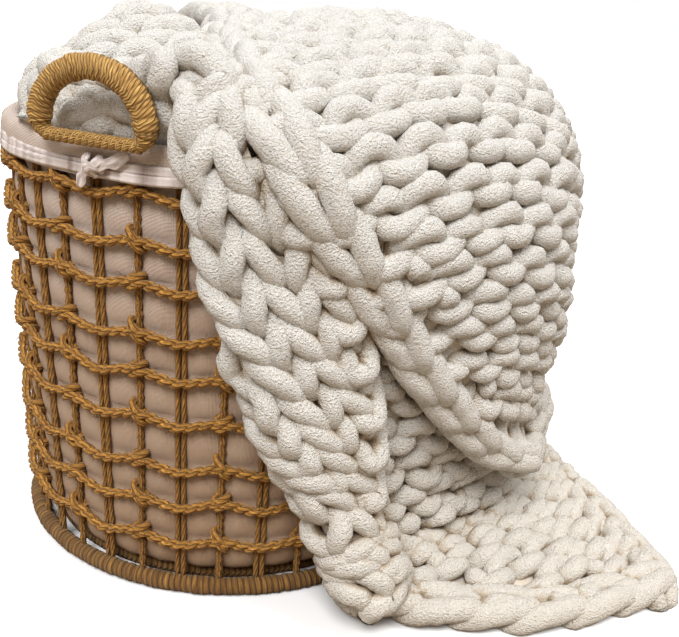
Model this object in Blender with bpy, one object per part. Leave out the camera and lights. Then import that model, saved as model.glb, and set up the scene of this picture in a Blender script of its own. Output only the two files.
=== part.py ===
"""A chunky knit blanket thrown over the rim of a round, lined rope basket.

Metres, +Z up.  The origin is on the basket's axis, on the surface it stands on.
The blanket is one thick knitted sheet.  It starts on the floor in front of the
basket, climbs the wall with its left side rolled over, crosses the rim, fills
the mouth, folds back on itself and falls over the right side as a big mound.
"""
import math

import bmesh
import bpy
import numpy as np
from mathutils import Vector

# ---- blanket ---------------------------------------------------------------
CLOTH_THICKNESS = 0.021
LAYER_GAP = 0.004                # air left inside the rolled side
SECTION_STEP = 0.022             # distance between two sections of the solid
COLUMNS = 13                     # points across the cloth, rolled side not counted
CURL_POINTS = 4                  # points round the turn of the rolled side
HEM_POINTS = 5                   # points across the part that is rolled over
EDGE_ROUND = 0.006               # how far the cut edge bulges
FLOOR_SNAP = 0.0025              # cloth lower than this lies flat on the floor
LEAST_BEND = 0.012               # a slightly turned side bends over at least this length
LOOSE_BEND = 1.5                 # how much wider a side bends that isn't rolled flat
ROLLED_FROM_DEG = 120.0          # from here on the rolled side follows the cloth under it

# Sections of the cloth's middle surface, in the order in which the blanket runs.
# Each is a curve through a left, a middle and a right point.  "curl" is how far the
# left side is turned over, in degrees, and "hem" how wide the turned-over part is.
# Below 0 degrees the side is tucked down into the basket instead.
SECTIONS = [
    # name               left                   middle                 right                 curl  hem
    ("apron edge",      ( .113, -.234, .0175),  ( .240, -.254, .0105),  ( .403, -.211, .0105),  180, .020),
    ("apron front",     ( .108, -.235, .0310),  ( .234, -.212, .0105),  ( .404, -.172, .0105),  180, .022),
    ("apron middle",    ( .101, -.235, .0450),  ( .228, -.168, .0105),  ( .392, -.100, .0105),  180, .026),
    ("apron back",      ( .093, -.235, .0580),  ( .214, -.140, .0120),  ( .380, -.028, .0105),  180, .032),
    ("crease",          ( .084, -.234, .0720),  ( .197, -.140, .0260),  ( .362,  .046, .0140),  180, .036),
    ("wall foot",       ( .075, -.234, .0920),  ( .182, -.150, .0580),  ( .336,  .068, .0450),  180, .042),
    ("wall low",        ( .063, -.235, .1180),  ( .173, -.158, .1060),  ( .306,  .080, .0950),  180, .048),
    ("wall under",      ( .045, -.238, .1560),  ( .170, -.166, .1630),  ( .288,  .090, .1600),  180, .058),
    ("wall middle",     ( .021, -.240, .2150),  ( .166, -.174, .2300),  ( .279,  .090, .2250),  180, .070),
    ("wall over",       (-.001, -.241, .2850),  ( .160, -.180, .3000),  ( .268,  .094, .3000),  180, .070),
    ("wall top",        (-.014, -.240, .3450),  ( .152, -.184, .3550),  ( .257,  .096, .3560),  180, .054),
    ("rim outside",     (-.022, -.236, .3840),  ( .142, -.188, .3880),  ( .246,  .098, .3880),  180, .032),
    ("rim crest",       (-.031, -.216, .4120),  ( .124, -.172, .4120),  ( .222,  .104, .4120),  130, .014),
    ("rim inside",      (-.056, -.180, .4180),  ( .098, -.124, .4120),  ( .196,  .118, .4120),   10, .010),
    ("mouth front",     (-.106, -.143, .4180),  ( .045, -.060, .4110),  ( .172,  .136, .4110),  -40, .016),
    ("mouth middle",    (-.154, -.092, .4210),  ( .000, -.005, .4100),  ( .148,  .156, .4110),  -90, .033),
    ("mouth left",      (-.178, -.012, .4200),  (-.038,  .056, .4110),  ( .120,  .178, .4110),  -95, .040),
    ("mouth back left", (-.168,  .062, .4240),  (-.040,  .114, .4110),  ( .096,  .196, .4110),  -80, .030),
    ("mouth back",      (-.132,  .124, .4190),  (-.030,  .166, .4110),  ( .076,  .212, .4110),  -25, .012),
    ("fold under",      (-.096,  .180, .4140),  (-.012,  .212, .4110),  ( .074,  .234, .4110),  -15, .010),
    ("fold turn",       (-.072,  .216, .4380),  ( .010,  .238, .4360),  ( .084,  .250, .4340),    0, .006),
    ("fold over",       (-.046,  .192, .4680),  ( .034,  .216, .4550),  ( .100,  .236, .4520),   10, .006),
    ("crown back",      (-.018,  .120, .4770),  ( .080,  .150, .4620),  ( .153,  .198, .4620),   15, .006),
    ("crown",           (-.006,  .040, .4760),  ( .122,  .092, .4720),  ( .224,  .165, .4580),   15, .006),
    ("crown front",     (-.004, -.050, .4690),  ( .153,  .030, .4820),  ( .282,  .138, .4240),   15, .006),
    ("shoulder",        ( .000, -.140, .4560),  ( .185, -.030, .4720),  ( .319,  .120, .3740),   15, .006),
    ("mound top",       ( .022, -.222, .4380),  ( .222, -.080, .4430),  ( .332,  .106, .3170),   15, .006),
    ("mound upper",     ( .050, -.260, .4020),  ( .250, -.114, .4030),  ( .336,  .100, .2640),   15, .006),
    ("mound middle",    ( .080, -.258, .3560),  ( .274, -.130, .3500),  ( .334,  .094, .2150),   15, .006),
    ("mound lower",     ( .113, -.247, .3100),  ( .278, -.134, .2900),  ( .322,  .084, .1780),   15, .006),
    ("tongue upper",    ( .144, -.228, .2600),  ( .270, -.128, .2360),  ( .319,  .072, .1500),   15, .006),
    ("tongue",          ( .180, -.202, .2080),  ( .272, -.112, .1860),  ( .319,  .056, .1320),   15, .006),
    ("tongue lower",    ( .234, -.156, .1420),  ( .286, -.088, .1380),  ( .325,  .034, .1180),   15, .006),
    ("tongue tip",      ( .290, -.102, .0920),  ( .308, -.054, .0940),  ( .334,  .006, .1020),   15, .006),
]
TURN_SECTION = "fold turn"       # from here on the cloth lies upside down
STEP_WEIGHTS = (.3, .5, .2)      # of the left, middle and right points in a step's length

# Soft ridges (+) and troughs (-) pressed into that surface.  "row" counts sections from 0,
# "across" runs from 0 at the left to 1 at the right, and the reaches are half widths.
FOLDS = [
    # name               row  across  rise  reach in rows, across
    ("heap in the mouth", 16.1, .28,  .066, 2.7, .28),
    ("heap at the side",  16.4, .02,  .012, 2.0, .20),
    ("mound belly",       26.3, .62,  .014, 2.2, .35),
    ("mound crease",      28.3, .80, -.018, 1.3, .35),
    ("lower belly",       30.2, .62,  .008, 1.6, .35),
    ("apron swell",        1.6, .62,  .007, 1.4, .25),
]

# ---- basket ----------------------------------------------------------------
GAP = 0.0003                     # left between two pieces that touch
BASKET_CLEARANCE = 0.0022        # between the cloth and the basket's edges
CAGE_DEPTH = 0.0126              # how far the cords stand out from the liner
FLARE = 0.010                    # how much wider the wall is at LINER_TOP than at the floor
LINER_TOP = 0.400
LINER_RADIUS = 0.1975            # outside of the liner at the floor
LINER_THICKNESS = 0.0025
WALL_TOP = 0.380                 # here the liner's wall meets the cuff
BASE_HEIGHT = 0.016
BASE_RADIUS = 0.212
BASE_CORNER = 0.007              # the wrapped edge's rounding
HOOP_RADIUS, HOOP_HEIGHT, HOOP_WIRE = 0.2135, 0.388, 0.0045
HOOP_SLACK = 0.001               # air between the hoop and the cuff
CUFF_TURNS_DEG = (150, 120, 90, 60, 30, 0)
CUFF_BOTTOM = 0.3665
CUFF_RADIUS = 0.2218             # outside of the liner's turned-down cuff
UPRIGHTS = 36
UPRIGHT_WIRE = 0.0025
RING_CORD = 0.0035
RING_HEIGHTS = (.360, .321, .287, .245, .211, .171, .128, .093, .056)
RING_SAG = 0.006                 # how far a cord drops between two knots
FIRST_UPRIGHT_DEG = -112.8
TURNED_STEPS = 40                # flats round a turned piece

TIE_HEIGHT, TIE_WIDTH, TIE_THICKNESS = 0.374, 0.011, 0.0016
KNOT_DEG = -120.0
KNOT_STAND_OFF = 0.0006
KNOT_OUTLINE = ((-.6, -1), (.6, -1), (1, 0), (.6, 1), (-.6, 1), (-1, 0))
# The knot with its tails: degrees from the knot, height, half width, thickness
KNOT_STATIONS = [
    (8.6, .3840, .0050, .0016),
    (6.4, .3800, .0048, .0018),
    (3.4, .3775, .0040, .0026),
    (1.8, .3775, .0075, .0080),
    (.0, .3765, .0090, .0105),
    (-1.8, .3735, .0075, .0080),
    (-2.4, .3660, .0038, .0026),
    (-1.6, .3580, .0046, .0018),
    (-.4, .3500, .0050, .0016),
]

HANDLE_DEG = -119.0
HANDLE_RADIUS = 0.2325           # from the basket's axis to the middle of the loop
HANDLE_HALF_WIDTH = 0.048
HANDLE_FOOT = 0.397
HANDLE_CORNER = 0.011
HANDLE_FLATTENED = 0.004         # how much lower the arch is than a half circle
HANDLE_ARCH_STEP_DEG = 12
HANDLE_TURNS_DEG = (30, 60, 90)
HANDLE_BAR_POINTS = 4
HANDLE_GRIP, HANDLE_BAR = 0.0100, 0.0070   # wrapped thickness, as radii

# name: colour, roughness
FINISHES = {
    "blanket_yarn": ((.86, .83, .76, 1), .95),
    "jute_cord": ((.48, .29, .10, 1), .85),
    "liner_cotton": ((.71, .60, .54, 1), .90),
    "liner_ribbon": ((.78, .70, .64, 1), .85),
    "hoop_wire": ((.25, .22, .18, 1), .50),
}


def clear_scene():
    """Remove whatever the open file holds, so that the part stands alone."""
    for thing in list(bpy.data.objects):
        bpy.data.objects.remove(thing, do_unlink=True)


def finish(name):
    """The material of one finish, made once and then shared."""
    material = bpy.data.materials.get(name)
    if material is None:
        colour, roughness = FINISHES[name]
        material = bpy.data.materials.new(name)
        material.use_nodes = True
        shader = material.node_tree.nodes["Principled BSDF"]
        shader.inputs["Base Color"].default_value = colour
        shader.inputs["Roughness"].default_value = roughness
        shader.inputs["Metallic"].default_value = 0.0
        material.diffuse_color = colour
    return material


def add_piece(name, data, material):
    """Link a mesh or curve as one named piece of the object."""
    piece = bpy.data.objects.new(name, data)
    data.materials.append(finish(material))
    bpy.context.scene.collection.objects.link(piece)
    return piece


def mesh_piece(name, bm, material):
    """Turn a bmesh into a smooth piece whose faces point outwards."""
    bmesh.ops.recalc_face_normals(bm, faces=bm.faces)
    mesh = bpy.data.meshes.new(name)
    bm.to_mesh(mesh)
    bm.free()
    mesh.shade_smooth()
    mesh.set_sharp_from_angle(angle=math.radians(50))
    return add_piece(name, mesh, material)


# ---- the blanket's surface -------------------------------------------------

def section_table():
    """The sections as one array: left, middle, right, curl, hem."""
    rows = [(*left, *middle, *right, curl, hem) for _, left, middle, right, curl, hem in SECTIONS]
    return np.array(rows, dtype=float)


def section_row(name):
    """Number of the section with this name."""
    return [row[0] for row in SECTIONS].index(name)


def between_rows(table, row):
    """Smooth blend of the table's rows at a row number that need not be whole."""
    last = len(table) - 1
    start = min(int(row), last - 1)
    part = row - start
    here, after = table[start], table[start + 1]
    before = table[start - 1] if start > 0 else 2 * here - after
    beyond = table[start + 2] if start + 2 <= last else 2 * after - here
    leave, arrive = (after - before) / 2, (beyond - here) / 2
    square, cube = part ** 2, part ** 3
    return ((2 * cube - 3 * square + 1) * here + (cube - 2 * square + part) * leave
            + (3 * square - 2 * cube) * after + (cube - square) * arrive)


def even_rows(table, step):
    """Row numbers that lie about one step apart along the cloth."""
    fine = np.linspace(0, len(table) - 1, 20 * len(table))
    points = np.array([between_rows(table, row)[:9].reshape(3, 3) for row in fine])
    moved = np.linalg.norm(np.diff(points, axis=0), axis=2) @ np.array(STEP_WEIGHTS)
    run = np.concatenate([[0], np.cumsum(moved)])
    count = int(round(run[-1] / step))
    return np.interp(np.linspace(0, run[-1], count + 1), run, fine)


def through_three(ends, across):
    """Points of the smooth curve through a left, a middle and a right point."""
    left, middle, right = ends
    return (left * (1 - across) * (1 - 2 * across) + 4 * middle * across * (1 - across)
            + right * across * (2 * across - 1))


def to_polar(points):
    """Radius, angle and height of points about the basket's axis."""
    radius = np.hypot(points[:, 0], points[:, 1])
    return np.stack([radius, np.arctan2(points[:, 1], points[:, 0]), points[:, 2]], axis=1)


def from_polar(points):
    """The reverse of to_polar."""
    radius, angle, height = points.T
    return np.stack([radius * np.cos(angle), radius * np.sin(angle), height], axis=1)


def clear_of_basket(points):
    """Push the cloth's middle surface off the basket's wall and its round rim."""
    space = CLOTH_THICKNESS / 2 + BASKET_CLEARANCE
    low, high = LINER_RADIUS + CAGE_DEPTH, CUFF_RADIUS + GAP + TIE_THICKNESS
    side = low + (high - low) * points[:, 2] / TIE_HEIGHT + space
    reach = np.hypot(points[:, 0], points[:, 1])
    wanted = np.where(points[:, 2] < HOOP_HEIGHT, np.maximum(reach, side), reach)
    off_hoop = np.stack([wanted - HOOP_RADIUS, points[:, 2] - HOOP_HEIGHT], axis=1)
    push = np.maximum((high - HOOP_RADIUS + space) / np.linalg.norm(off_hoop, axis=1), 1)
    pushed = off_hoop * push[:, None]
    points = points.copy()
    points[:, :2] *= ((HOOP_RADIUS + pushed[:, 0]) / reach)[:, None]
    points[:, 2] = HOOP_HEIGHT + pushed[:, 1]
    return points


def bell(distance):
    """1 at the middle of a fold, 0 from its reach on."""
    return (1 - np.clip(np.abs(distance), 0, 1) ** 2) ** 2


def surface_normals(grid):
    """Unit normals of a grid of points."""
    along = np.gradient(grid, axis=0)
    across = np.gradient(grid, axis=1)
    normals = np.cross(across, along)
    return normals / np.linalg.norm(normals, axis=2, keepdims=True)


def cloth_grid(rows, columns):
    """Middle surface of the blanket, without its rolled side."""
    table = section_table()
    across = np.linspace(0, 1, columns)[:, None]
    turn = section_row(TURN_SECTION)
    crest, mouth = section_row("rim crest"), section_row("mouth front")
    grid = []
    for row in rows:
        ends = between_rows(table, row)[:9].reshape(3, 3)
        straight = through_three(ends, across)
        wrapped = from_polar(through_three(to_polar(ends), across))
        flat = bell((row - crest) / (mouth - crest)) if row > crest else 1.0
        points = flat * wrapped + (1 - flat) * straight
        grid.append(clear_of_basket(points) if row < turn else straight)
    grid = np.array(grid)
    normals = surface_normals(grid)
    for _, fold_row, fold_across, rise, reach_rows, reach_across in FOLDS:
        same_side = (rows < turn) == (fold_row < turn)
        height = rise * bell((rows - fold_row) / reach_rows) * same_side
        spread = bell((across[:, 0] - fold_across) / reach_across)
        outwards = np.where(rows < turn, 1, -1)
        grid += normals * (height * outwards)[:, None, None] * spread[None, :, None]
    return grid


def rolled_side(grid, rows):
    """The cloth grid with the columns of its rolled left side put before it."""
    table = section_table()
    normals = surface_normals(grid)
    radius = (CLOTH_THICKNESS + LAYER_GAP) / 2
    result = []
    for line, normal, row in zip(grid, normals, rows):
        curl, hem = between_rows(table, row)[9:]
        angle = math.radians(min(curl, 180))
        outward = line[0] - line[1]
        outward = outward - normal[0] * (outward @ normal[0])
        outward = outward / np.linalg.norm(outward)
        bend = max(radius * abs(angle) * (1 if curl > ROLLED_FROM_DEG else LOOSE_BEND), LEAST_BEND)
        turned = []
        for part in np.linspace(0, 1, CURL_POINTS + 1)[1:]:
            half = angle * part / 2
            chord = bend * part * np.sinc(half / math.pi)
            turned.append(line[0] + chord * (math.cos(half) * outward + math.sin(half) * normal[0]))
        heading = math.cos(angle) * outward + math.sin(angle) * normal[0]
        run = np.concatenate([[0], np.cumsum(np.linalg.norm(np.diff(line, axis=0), axis=1))])
        settled = np.clip((curl - ROLLED_FROM_DEG) / (180 - ROLLED_FROM_DEG), 0, 1)
        settled = settled ** 2 * (3 - 2 * settled)
        end = turned[-1]
        for distance in np.linspace(0, hem, HEM_POINTS + 1)[1:]:
            under = np.array([np.interp(distance, run, line[:, k]) for k in range(3)])
            lift = np.array([np.interp(distance, run, normal[:, k]) for k in range(3)])
            lying = under + 2 * radius * lift / np.linalg.norm(lift)
            turned.append((1 - settled) * (end + distance * heading) + settled * lying)
        result.append(np.vstack([turned[::-1], line]))
    return np.array(result)


def shell(grid, thickness, edge_round):
    """A closed solid of this thickness about a grid, with a rounded cut edge."""
    normals = surface_normals(grid)
    faces = [grid + normals * thickness / 2, grid - normals * thickness / 2]
    for points in faces:
        points[..., 2] = np.where(points[..., 2] < FLOOR_SNAP, 0, points[..., 2])
    rows, columns = grid.shape[:2]
    bm = bmesh.new()
    upper, lower = [[[bm.verts.new(p) for p in line] for line in points] for points in faces]
    for side in (upper, lower):
        for i in range(rows - 1):
            for j in range(columns - 1):
                bm.faces.new((side[i][j], side[i][j + 1], side[i + 1][j + 1], side[i + 1][j]))
    border = [(0, j) for j in range(columns)] + [(i, columns - 1) for i in range(1, rows)]
    border += [(rows - 1, j) for j in range(columns - 2, -1, -1)] + [(i, 0) for i in range(rows - 2, 0, -1)]
    rim = []
    for i, j in border:
        inner = grid[min(max(i, 1), rows - 2), min(max(j, 1), columns - 2)]
        normal = normals[i, j]
        outward = grid[i, j] - inner
        outward = outward - normal * (outward @ normal)
        point = (faces[0][i, j] + faces[1][i, j]) / 2 + edge_round * outward / np.linalg.norm(outward)
        rim.append(bm.verts.new(point))
    for k, (i, j) in enumerate(border):
        m, n = border[(k + 1) % len(border)]
        after = rim[(k + 1) % len(border)]
        bm.faces.new((upper[i][j], upper[m][n], after, rim[k]))
        bm.faces.new((rim[k], after, lower[m][n], lower[i][j]))
    return bm


def add_blanket():
    """The knitted sheet, one solid from the floor in front to the tongue at the right."""
    rows = even_rows(section_table(), SECTION_STEP)
    grid = rolled_side(cloth_grid(rows, COLUMNS), rows)
    return mesh_piece("knit_blanket", shell(grid, CLOTH_THICKNESS, EDGE_ROUND), "blanket_yarn")


# ---- the basket ------------------------------------------------------------

def wall_radius(height):
    """Outside of the liner's wall at this height."""
    return LINER_RADIUS + FLARE * height / LINER_TOP


def around(radius, degrees, height):
    """A point at this radius, angle and height about the basket's axis."""
    angle = math.radians(degrees)
    return Vector((radius * math.cos(angle), radius * math.sin(angle), height))


def turned_piece(name, profile, closed, material):
    """Spin a profile of (radius, height) points about the basket's axis."""
    bm = bmesh.new()
    verts = [bm.verts.new((radius, 0, height)) for radius, height in profile]
    edges = [bm.edges.new(pair) for pair in zip(verts, verts[1:])]
    if closed:
        edges.append(bm.edges.new((verts[-1], verts[0])))
    bmesh.ops.spin(bm, geom=verts + edges, axis=(0, 0, 1), cent=(0, 0, 0), steps=TURNED_STEPS,
                   angle=2 * math.pi, use_merge=True)
    bmesh.ops.remove_doubles(bm, verts=bm.verts, dist=1e-6)
    return mesh_piece(name, bm, material)


def cord_piece(name, points, radius, closed, material, sides=4, radii=None):
    """A tube of cord along a route; sides is 4, 6 or 8."""
    curve = bpy.data.curves.new(name, "CURVE")
    curve.dimensions = "3D"
    curve.bevel_depth = radius
    curve.bevel_resolution = (sides - 4) // 2
    curve.use_fill_caps = not closed
    route = curve.splines.new("POLY")
    route.points.add(len(points) - 1)
    route.use_cyclic_u = closed
    for k, point in enumerate(points):
        route.points[k].co = (*point, 1)
        route.points[k].radius = 1 if radii is None else radii[k]
    return add_piece(name, curve, material)


def add_base():
    """The coiled floor of the basket with its round wrapped edge."""
    half = BASE_HEIGHT / 2
    edge = [(BASE_RADIUS - BASE_CORNER * (1 - math.cos(a)), half + half * math.sin(a))
            for a in np.radians([-90, -45, 0, 45, 90])]
    profile = [(0, 0), *edge, (0, BASE_HEIGHT)]
    return turned_piece("basket_base", profile, False, "jute_cord")


def add_liner():
    """The cotton liner: floor, wall, and a cuff folded out over the hoop."""
    floor = BASE_HEIGHT + GAP
    hoop_out = HOOP_WIRE + HOOP_SLACK
    fold_out = hoop_out + LINER_THICKNESS
    inside_fold = [(HOOP_RADIUS + hoop_out * math.cos(a), HOOP_HEIGHT + hoop_out * math.sin(a))
                   for a in np.radians(CUFF_TURNS_DEG)]
    outside_fold = [(HOOP_RADIUS + fold_out * math.cos(a), HOOP_HEIGHT + fold_out * math.sin(a))
                    for a in np.radians(CUFF_TURNS_DEG[::-1])]
    cuff_inner = HOOP_RADIUS + hoop_out
    profile = [(0, floor), (wall_radius(floor), floor), (wall_radius(WALL_TOP), WALL_TOP)]
    profile += inside_fold
    profile += [(cuff_inner, CUFF_BOTTOM), (CUFF_RADIUS, CUFF_BOTTOM)]
    profile += outside_fold
    profile += [(wall_radius(WALL_TOP) - LINER_THICKNESS, WALL_TOP),
                (wall_radius(floor) - LINER_THICKNESS, floor + LINER_THICKNESS),
                (0, floor + LINER_THICKNESS)]
    return turned_piece("basket_liner", profile, False, "liner_cotton")


def add_hoop():
    """The wire hoop inside the liner's cuff, which the uprights hang from."""
    route = [around(HOOP_RADIUS, k * 360 / TURNED_STEPS, HOOP_HEIGHT) for k in range(TURNED_STEPS)]
    return cord_piece("rim_hoop", route, HOOP_WIRE, True, "hoop_wire", sides=6)


def add_uprights():
    """Thirty-six wrapped wires, from the base up to the hoop."""
    low = BASE_HEIGHT + GAP
    high = HOOP_HEIGHT - HOOP_WIRE - GAP
    out = UPRIGHT_WIRE + GAP
    for k in range(UPRIGHTS):
        degrees = FIRST_UPRIGHT_DEG + k * 360 / UPRIGHTS
        ends = [around(wall_radius(z) + out, degrees, z) for z in (low, high)]
        cord_piece(f"upright_{k + 1:02d}", ends, UPRIGHT_WIRE, False, "jute_cord", sides=6)


def add_ring_cords():
    """Nine cords round the uprights, knotted at every other one and slack between."""
    out = 2 * UPRIGHT_WIRE + 2 * GAP + RING_CORD
    for number, height in enumerate(RING_HEIGHTS, 1):
        route = []
        for k in range(UPRIGHTS):
            z = height - (RING_SAG if k % 2 else 0)
            route.append(around(wall_radius(z) + out, FIRST_UPRIGHT_DEG + k * 360 / UPRIGHTS, z))
        cord_piece(f"ring_cord_{number}", route, RING_CORD, True, "jute_cord")


def add_tie():
    """The ribbon round the cuff and the knot that closes it, with two short tails."""
    inner = CUFF_RADIUS + GAP
    outer = inner + TIE_THICKNESS
    low, high = TIE_HEIGHT - TIE_WIDTH / 2, TIE_HEIGHT + TIE_WIDTH / 2
    turned_piece("liner_tie", [(inner, low), (outer, low), (outer, high), (inner, high)], True,
                 "liner_ribbon")
    face = outer + KNOT_STAND_OFF
    spots = [around(face + thick / 2, KNOT_DEG + turn, z) for turn, z, _, thick in KNOT_STATIONS]
    bm = bmesh.new()
    rings = []
    for k, (turn, _, half, thick) in enumerate(KNOT_STATIONS):
        ahead = (spots[min(k + 1, len(spots) - 1)] - spots[max(k - 1, 0)]).normalized()
        outwards = around(1, KNOT_DEG + turn, 0)
        side = ahead.cross(outwards).normalized()
        corners = [spots[k] + side * a * half + outwards * b * thick / 2
                   for a, b in KNOT_OUTLINE]
        rings.append([bm.verts.new(corner) for corner in corners])
    for first, second in zip(rings, rings[1:]):
        for k in range(len(first)):
            after = (k + 1) % len(first)
            bm.faces.new((first[k], first[after], second[after], second[k]))
    bm.faces.new(rings[0])
    bm.faces.new(rings[-1])
    return mesh_piece("liner_tie_knot", bm, "liner_ribbon")


def add_handle():
    """The D-shaped grip: a wrapped arch on a thinner wrapped bar."""
    middle = around(HANDLE_RADIUS, HANDLE_DEG, HANDLE_FOOT)
    sideways = around(1, HANDLE_DEG + 90, 0)
    upwards = Vector((0, 0, 1))
    corner = HANDLE_CORNER
    half = HANDLE_HALF_WIDTH
    arch = np.radians(np.arange(0, 181, HANDLE_ARCH_STEP_DEG))
    outline = [(half * math.cos(a), corner + (half - HANDLE_FLATTENED) * math.sin(a), 1) for a in arch]
    bar = HANDLE_BAR / HANDLE_GRIP
    turns = np.radians(HANDLE_TURNS_DEG)
    corners = [(half - corner * (1 - math.cos(a)), corner * (1 - math.sin(a)), 1 + (bar - 1) * a / turns[-1])
               for a in turns]
    outline += [(-x, z, size) for x, z, size in corners]
    ends = half - corner
    outline += [(x, 0, bar) for x in np.linspace(-ends, ends, HANDLE_BAR_POINTS + 2)[1:-1]]
    outline += corners[::-1]
    route = [middle + sideways * x + upwards * z for x, z, _ in outline]
    radii = [size for _, _, size in outline]
    return cord_piece("carry_handle", route, HANDLE_GRIP, True, "jute_cord", sides=8, radii=radii)


def build():
    """Make the whole object, the cloth first and then the basket under it."""
    clear_scene()
    add_blanket()
    add_base()
    add_liner()
    add_hoop()
    add_uprights()
    add_ring_cords()
    add_tie()
    add_handle()


build()
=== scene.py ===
# %% [markdown]
# # A chunky knit blanket over the rim of a rope basket
# The model has two halves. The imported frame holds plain, closed solids with the true sizes.
# This script dresses them: it lays real loops of yarn along the blanket's surface, twists the
# basket's cords, and gives every piece a finish made from shader nodes.

import math

import bpy
import numpy as np
from mathutils import Matrix


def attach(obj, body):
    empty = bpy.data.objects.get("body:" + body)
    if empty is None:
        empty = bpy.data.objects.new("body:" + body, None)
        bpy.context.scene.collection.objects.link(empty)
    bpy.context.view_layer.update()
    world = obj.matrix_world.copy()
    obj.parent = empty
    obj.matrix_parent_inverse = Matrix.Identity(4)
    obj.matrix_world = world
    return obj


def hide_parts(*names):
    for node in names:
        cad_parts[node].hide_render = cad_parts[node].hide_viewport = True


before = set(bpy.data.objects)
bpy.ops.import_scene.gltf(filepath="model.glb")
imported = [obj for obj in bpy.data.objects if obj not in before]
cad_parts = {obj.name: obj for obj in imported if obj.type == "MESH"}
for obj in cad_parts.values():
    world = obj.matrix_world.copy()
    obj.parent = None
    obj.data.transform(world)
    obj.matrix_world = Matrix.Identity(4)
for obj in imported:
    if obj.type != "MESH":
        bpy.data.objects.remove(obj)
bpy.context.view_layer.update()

# %% [markdown]
# ## Camera
# The eye stands a little above the basket's rim and looks down at it. A camera's matrix has its
# right, up and backward directions as columns, so these three are made from two angles and a roll.

# %% Camera
EYE = (0.0, -0.886, 0.505)
PITCH_DEG, YAW_DEG, ROLL_DEG = 19.27, 6.71, 4.35
LENS_MM, SENSOR_MM = 47.72, 36.0


def unit(v):
    return v / np.linalg.norm(v)


pitch, yaw, roll = np.radians([PITCH_DEG, YAW_DEG, ROLL_DEG])
ahead = np.array([math.sin(yaw) * math.cos(pitch), math.cos(yaw) * math.cos(pitch), -math.sin(pitch)])
level = unit(np.cross(ahead, (0, 0, 1)))
above = np.cross(level, ahead)
right = math.cos(roll) * level + math.sin(roll) * above
up = -math.sin(roll) * level + math.cos(roll) * above
camera = bpy.data.objects.new("camera", bpy.data.cameras.new("camera"))
camera.data.lens, camera.data.sensor_width = LENS_MM, SENSOR_MM
camera.data.clip_start = 0.02
camera.matrix_world = Matrix([[*row] for row in np.vstack([
    np.column_stack([right, up, -ahead, EYE]), [0, 0, 0, 1]])])
bpy.context.scene.collection.objects.link(camera)
bpy.context.scene.camera = camera
print("camera looks along", ahead.round(3))

# %% [markdown]
# ## Helpers for meshes
# Yarn and cord are tubes. `Tubes` gathers many of them as plain arrays and turns them into one mesh,
# which is far quicker than joining objects. Each vertex carries two values for the materials: where
# it is on its tube (as UV) and how much painted shade its colour gets, for lying deep in the fabric or
# in a seam (as an attribute).

# %% Tubes
LUMP_WIDE, LUMP_FINE = 0.0045, 0.0021
TIP_OUT = 0.6


def smooth_noise(points, cell, seed):
    """Soft random values from -1 to 1 at 3-D points; cell is the size of its lumps in metres."""
    scaled = points / cell + 17.3 * seed
    base = np.floor(scaled).astype(np.int64)
    part = scaled - base
    part = part * part * (3 - 2 * part)
    total = 0
    for corner in range(8):
        step = np.array([corner & 1, corner >> 1 & 1, corner >> 2 & 1])
        key = (base + step) @ np.array([73856093, 19349663, 83492791]) + seed * 7919
        key = (key ^ (key >> 13)) * 1274126177 & 0x7FFFFFFF
        value = (key ^ (key >> 16)) % 65536 / 32767.5 - 1
        weight = np.prod(np.where(step, part, 1 - part), axis=-1)
        total = total + value * weight
    return total


def tangents(points, closed):
    """Unit directions along a line of points."""
    if closed:
        steps = np.roll(points, -1, axis=0) - np.roll(points, 1, axis=0)
    else:
        steps = np.gradient(points, axis=0)
    return steps / np.maximum(np.linalg.norm(steps, axis=1, keepdims=True), 1e-9)


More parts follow.
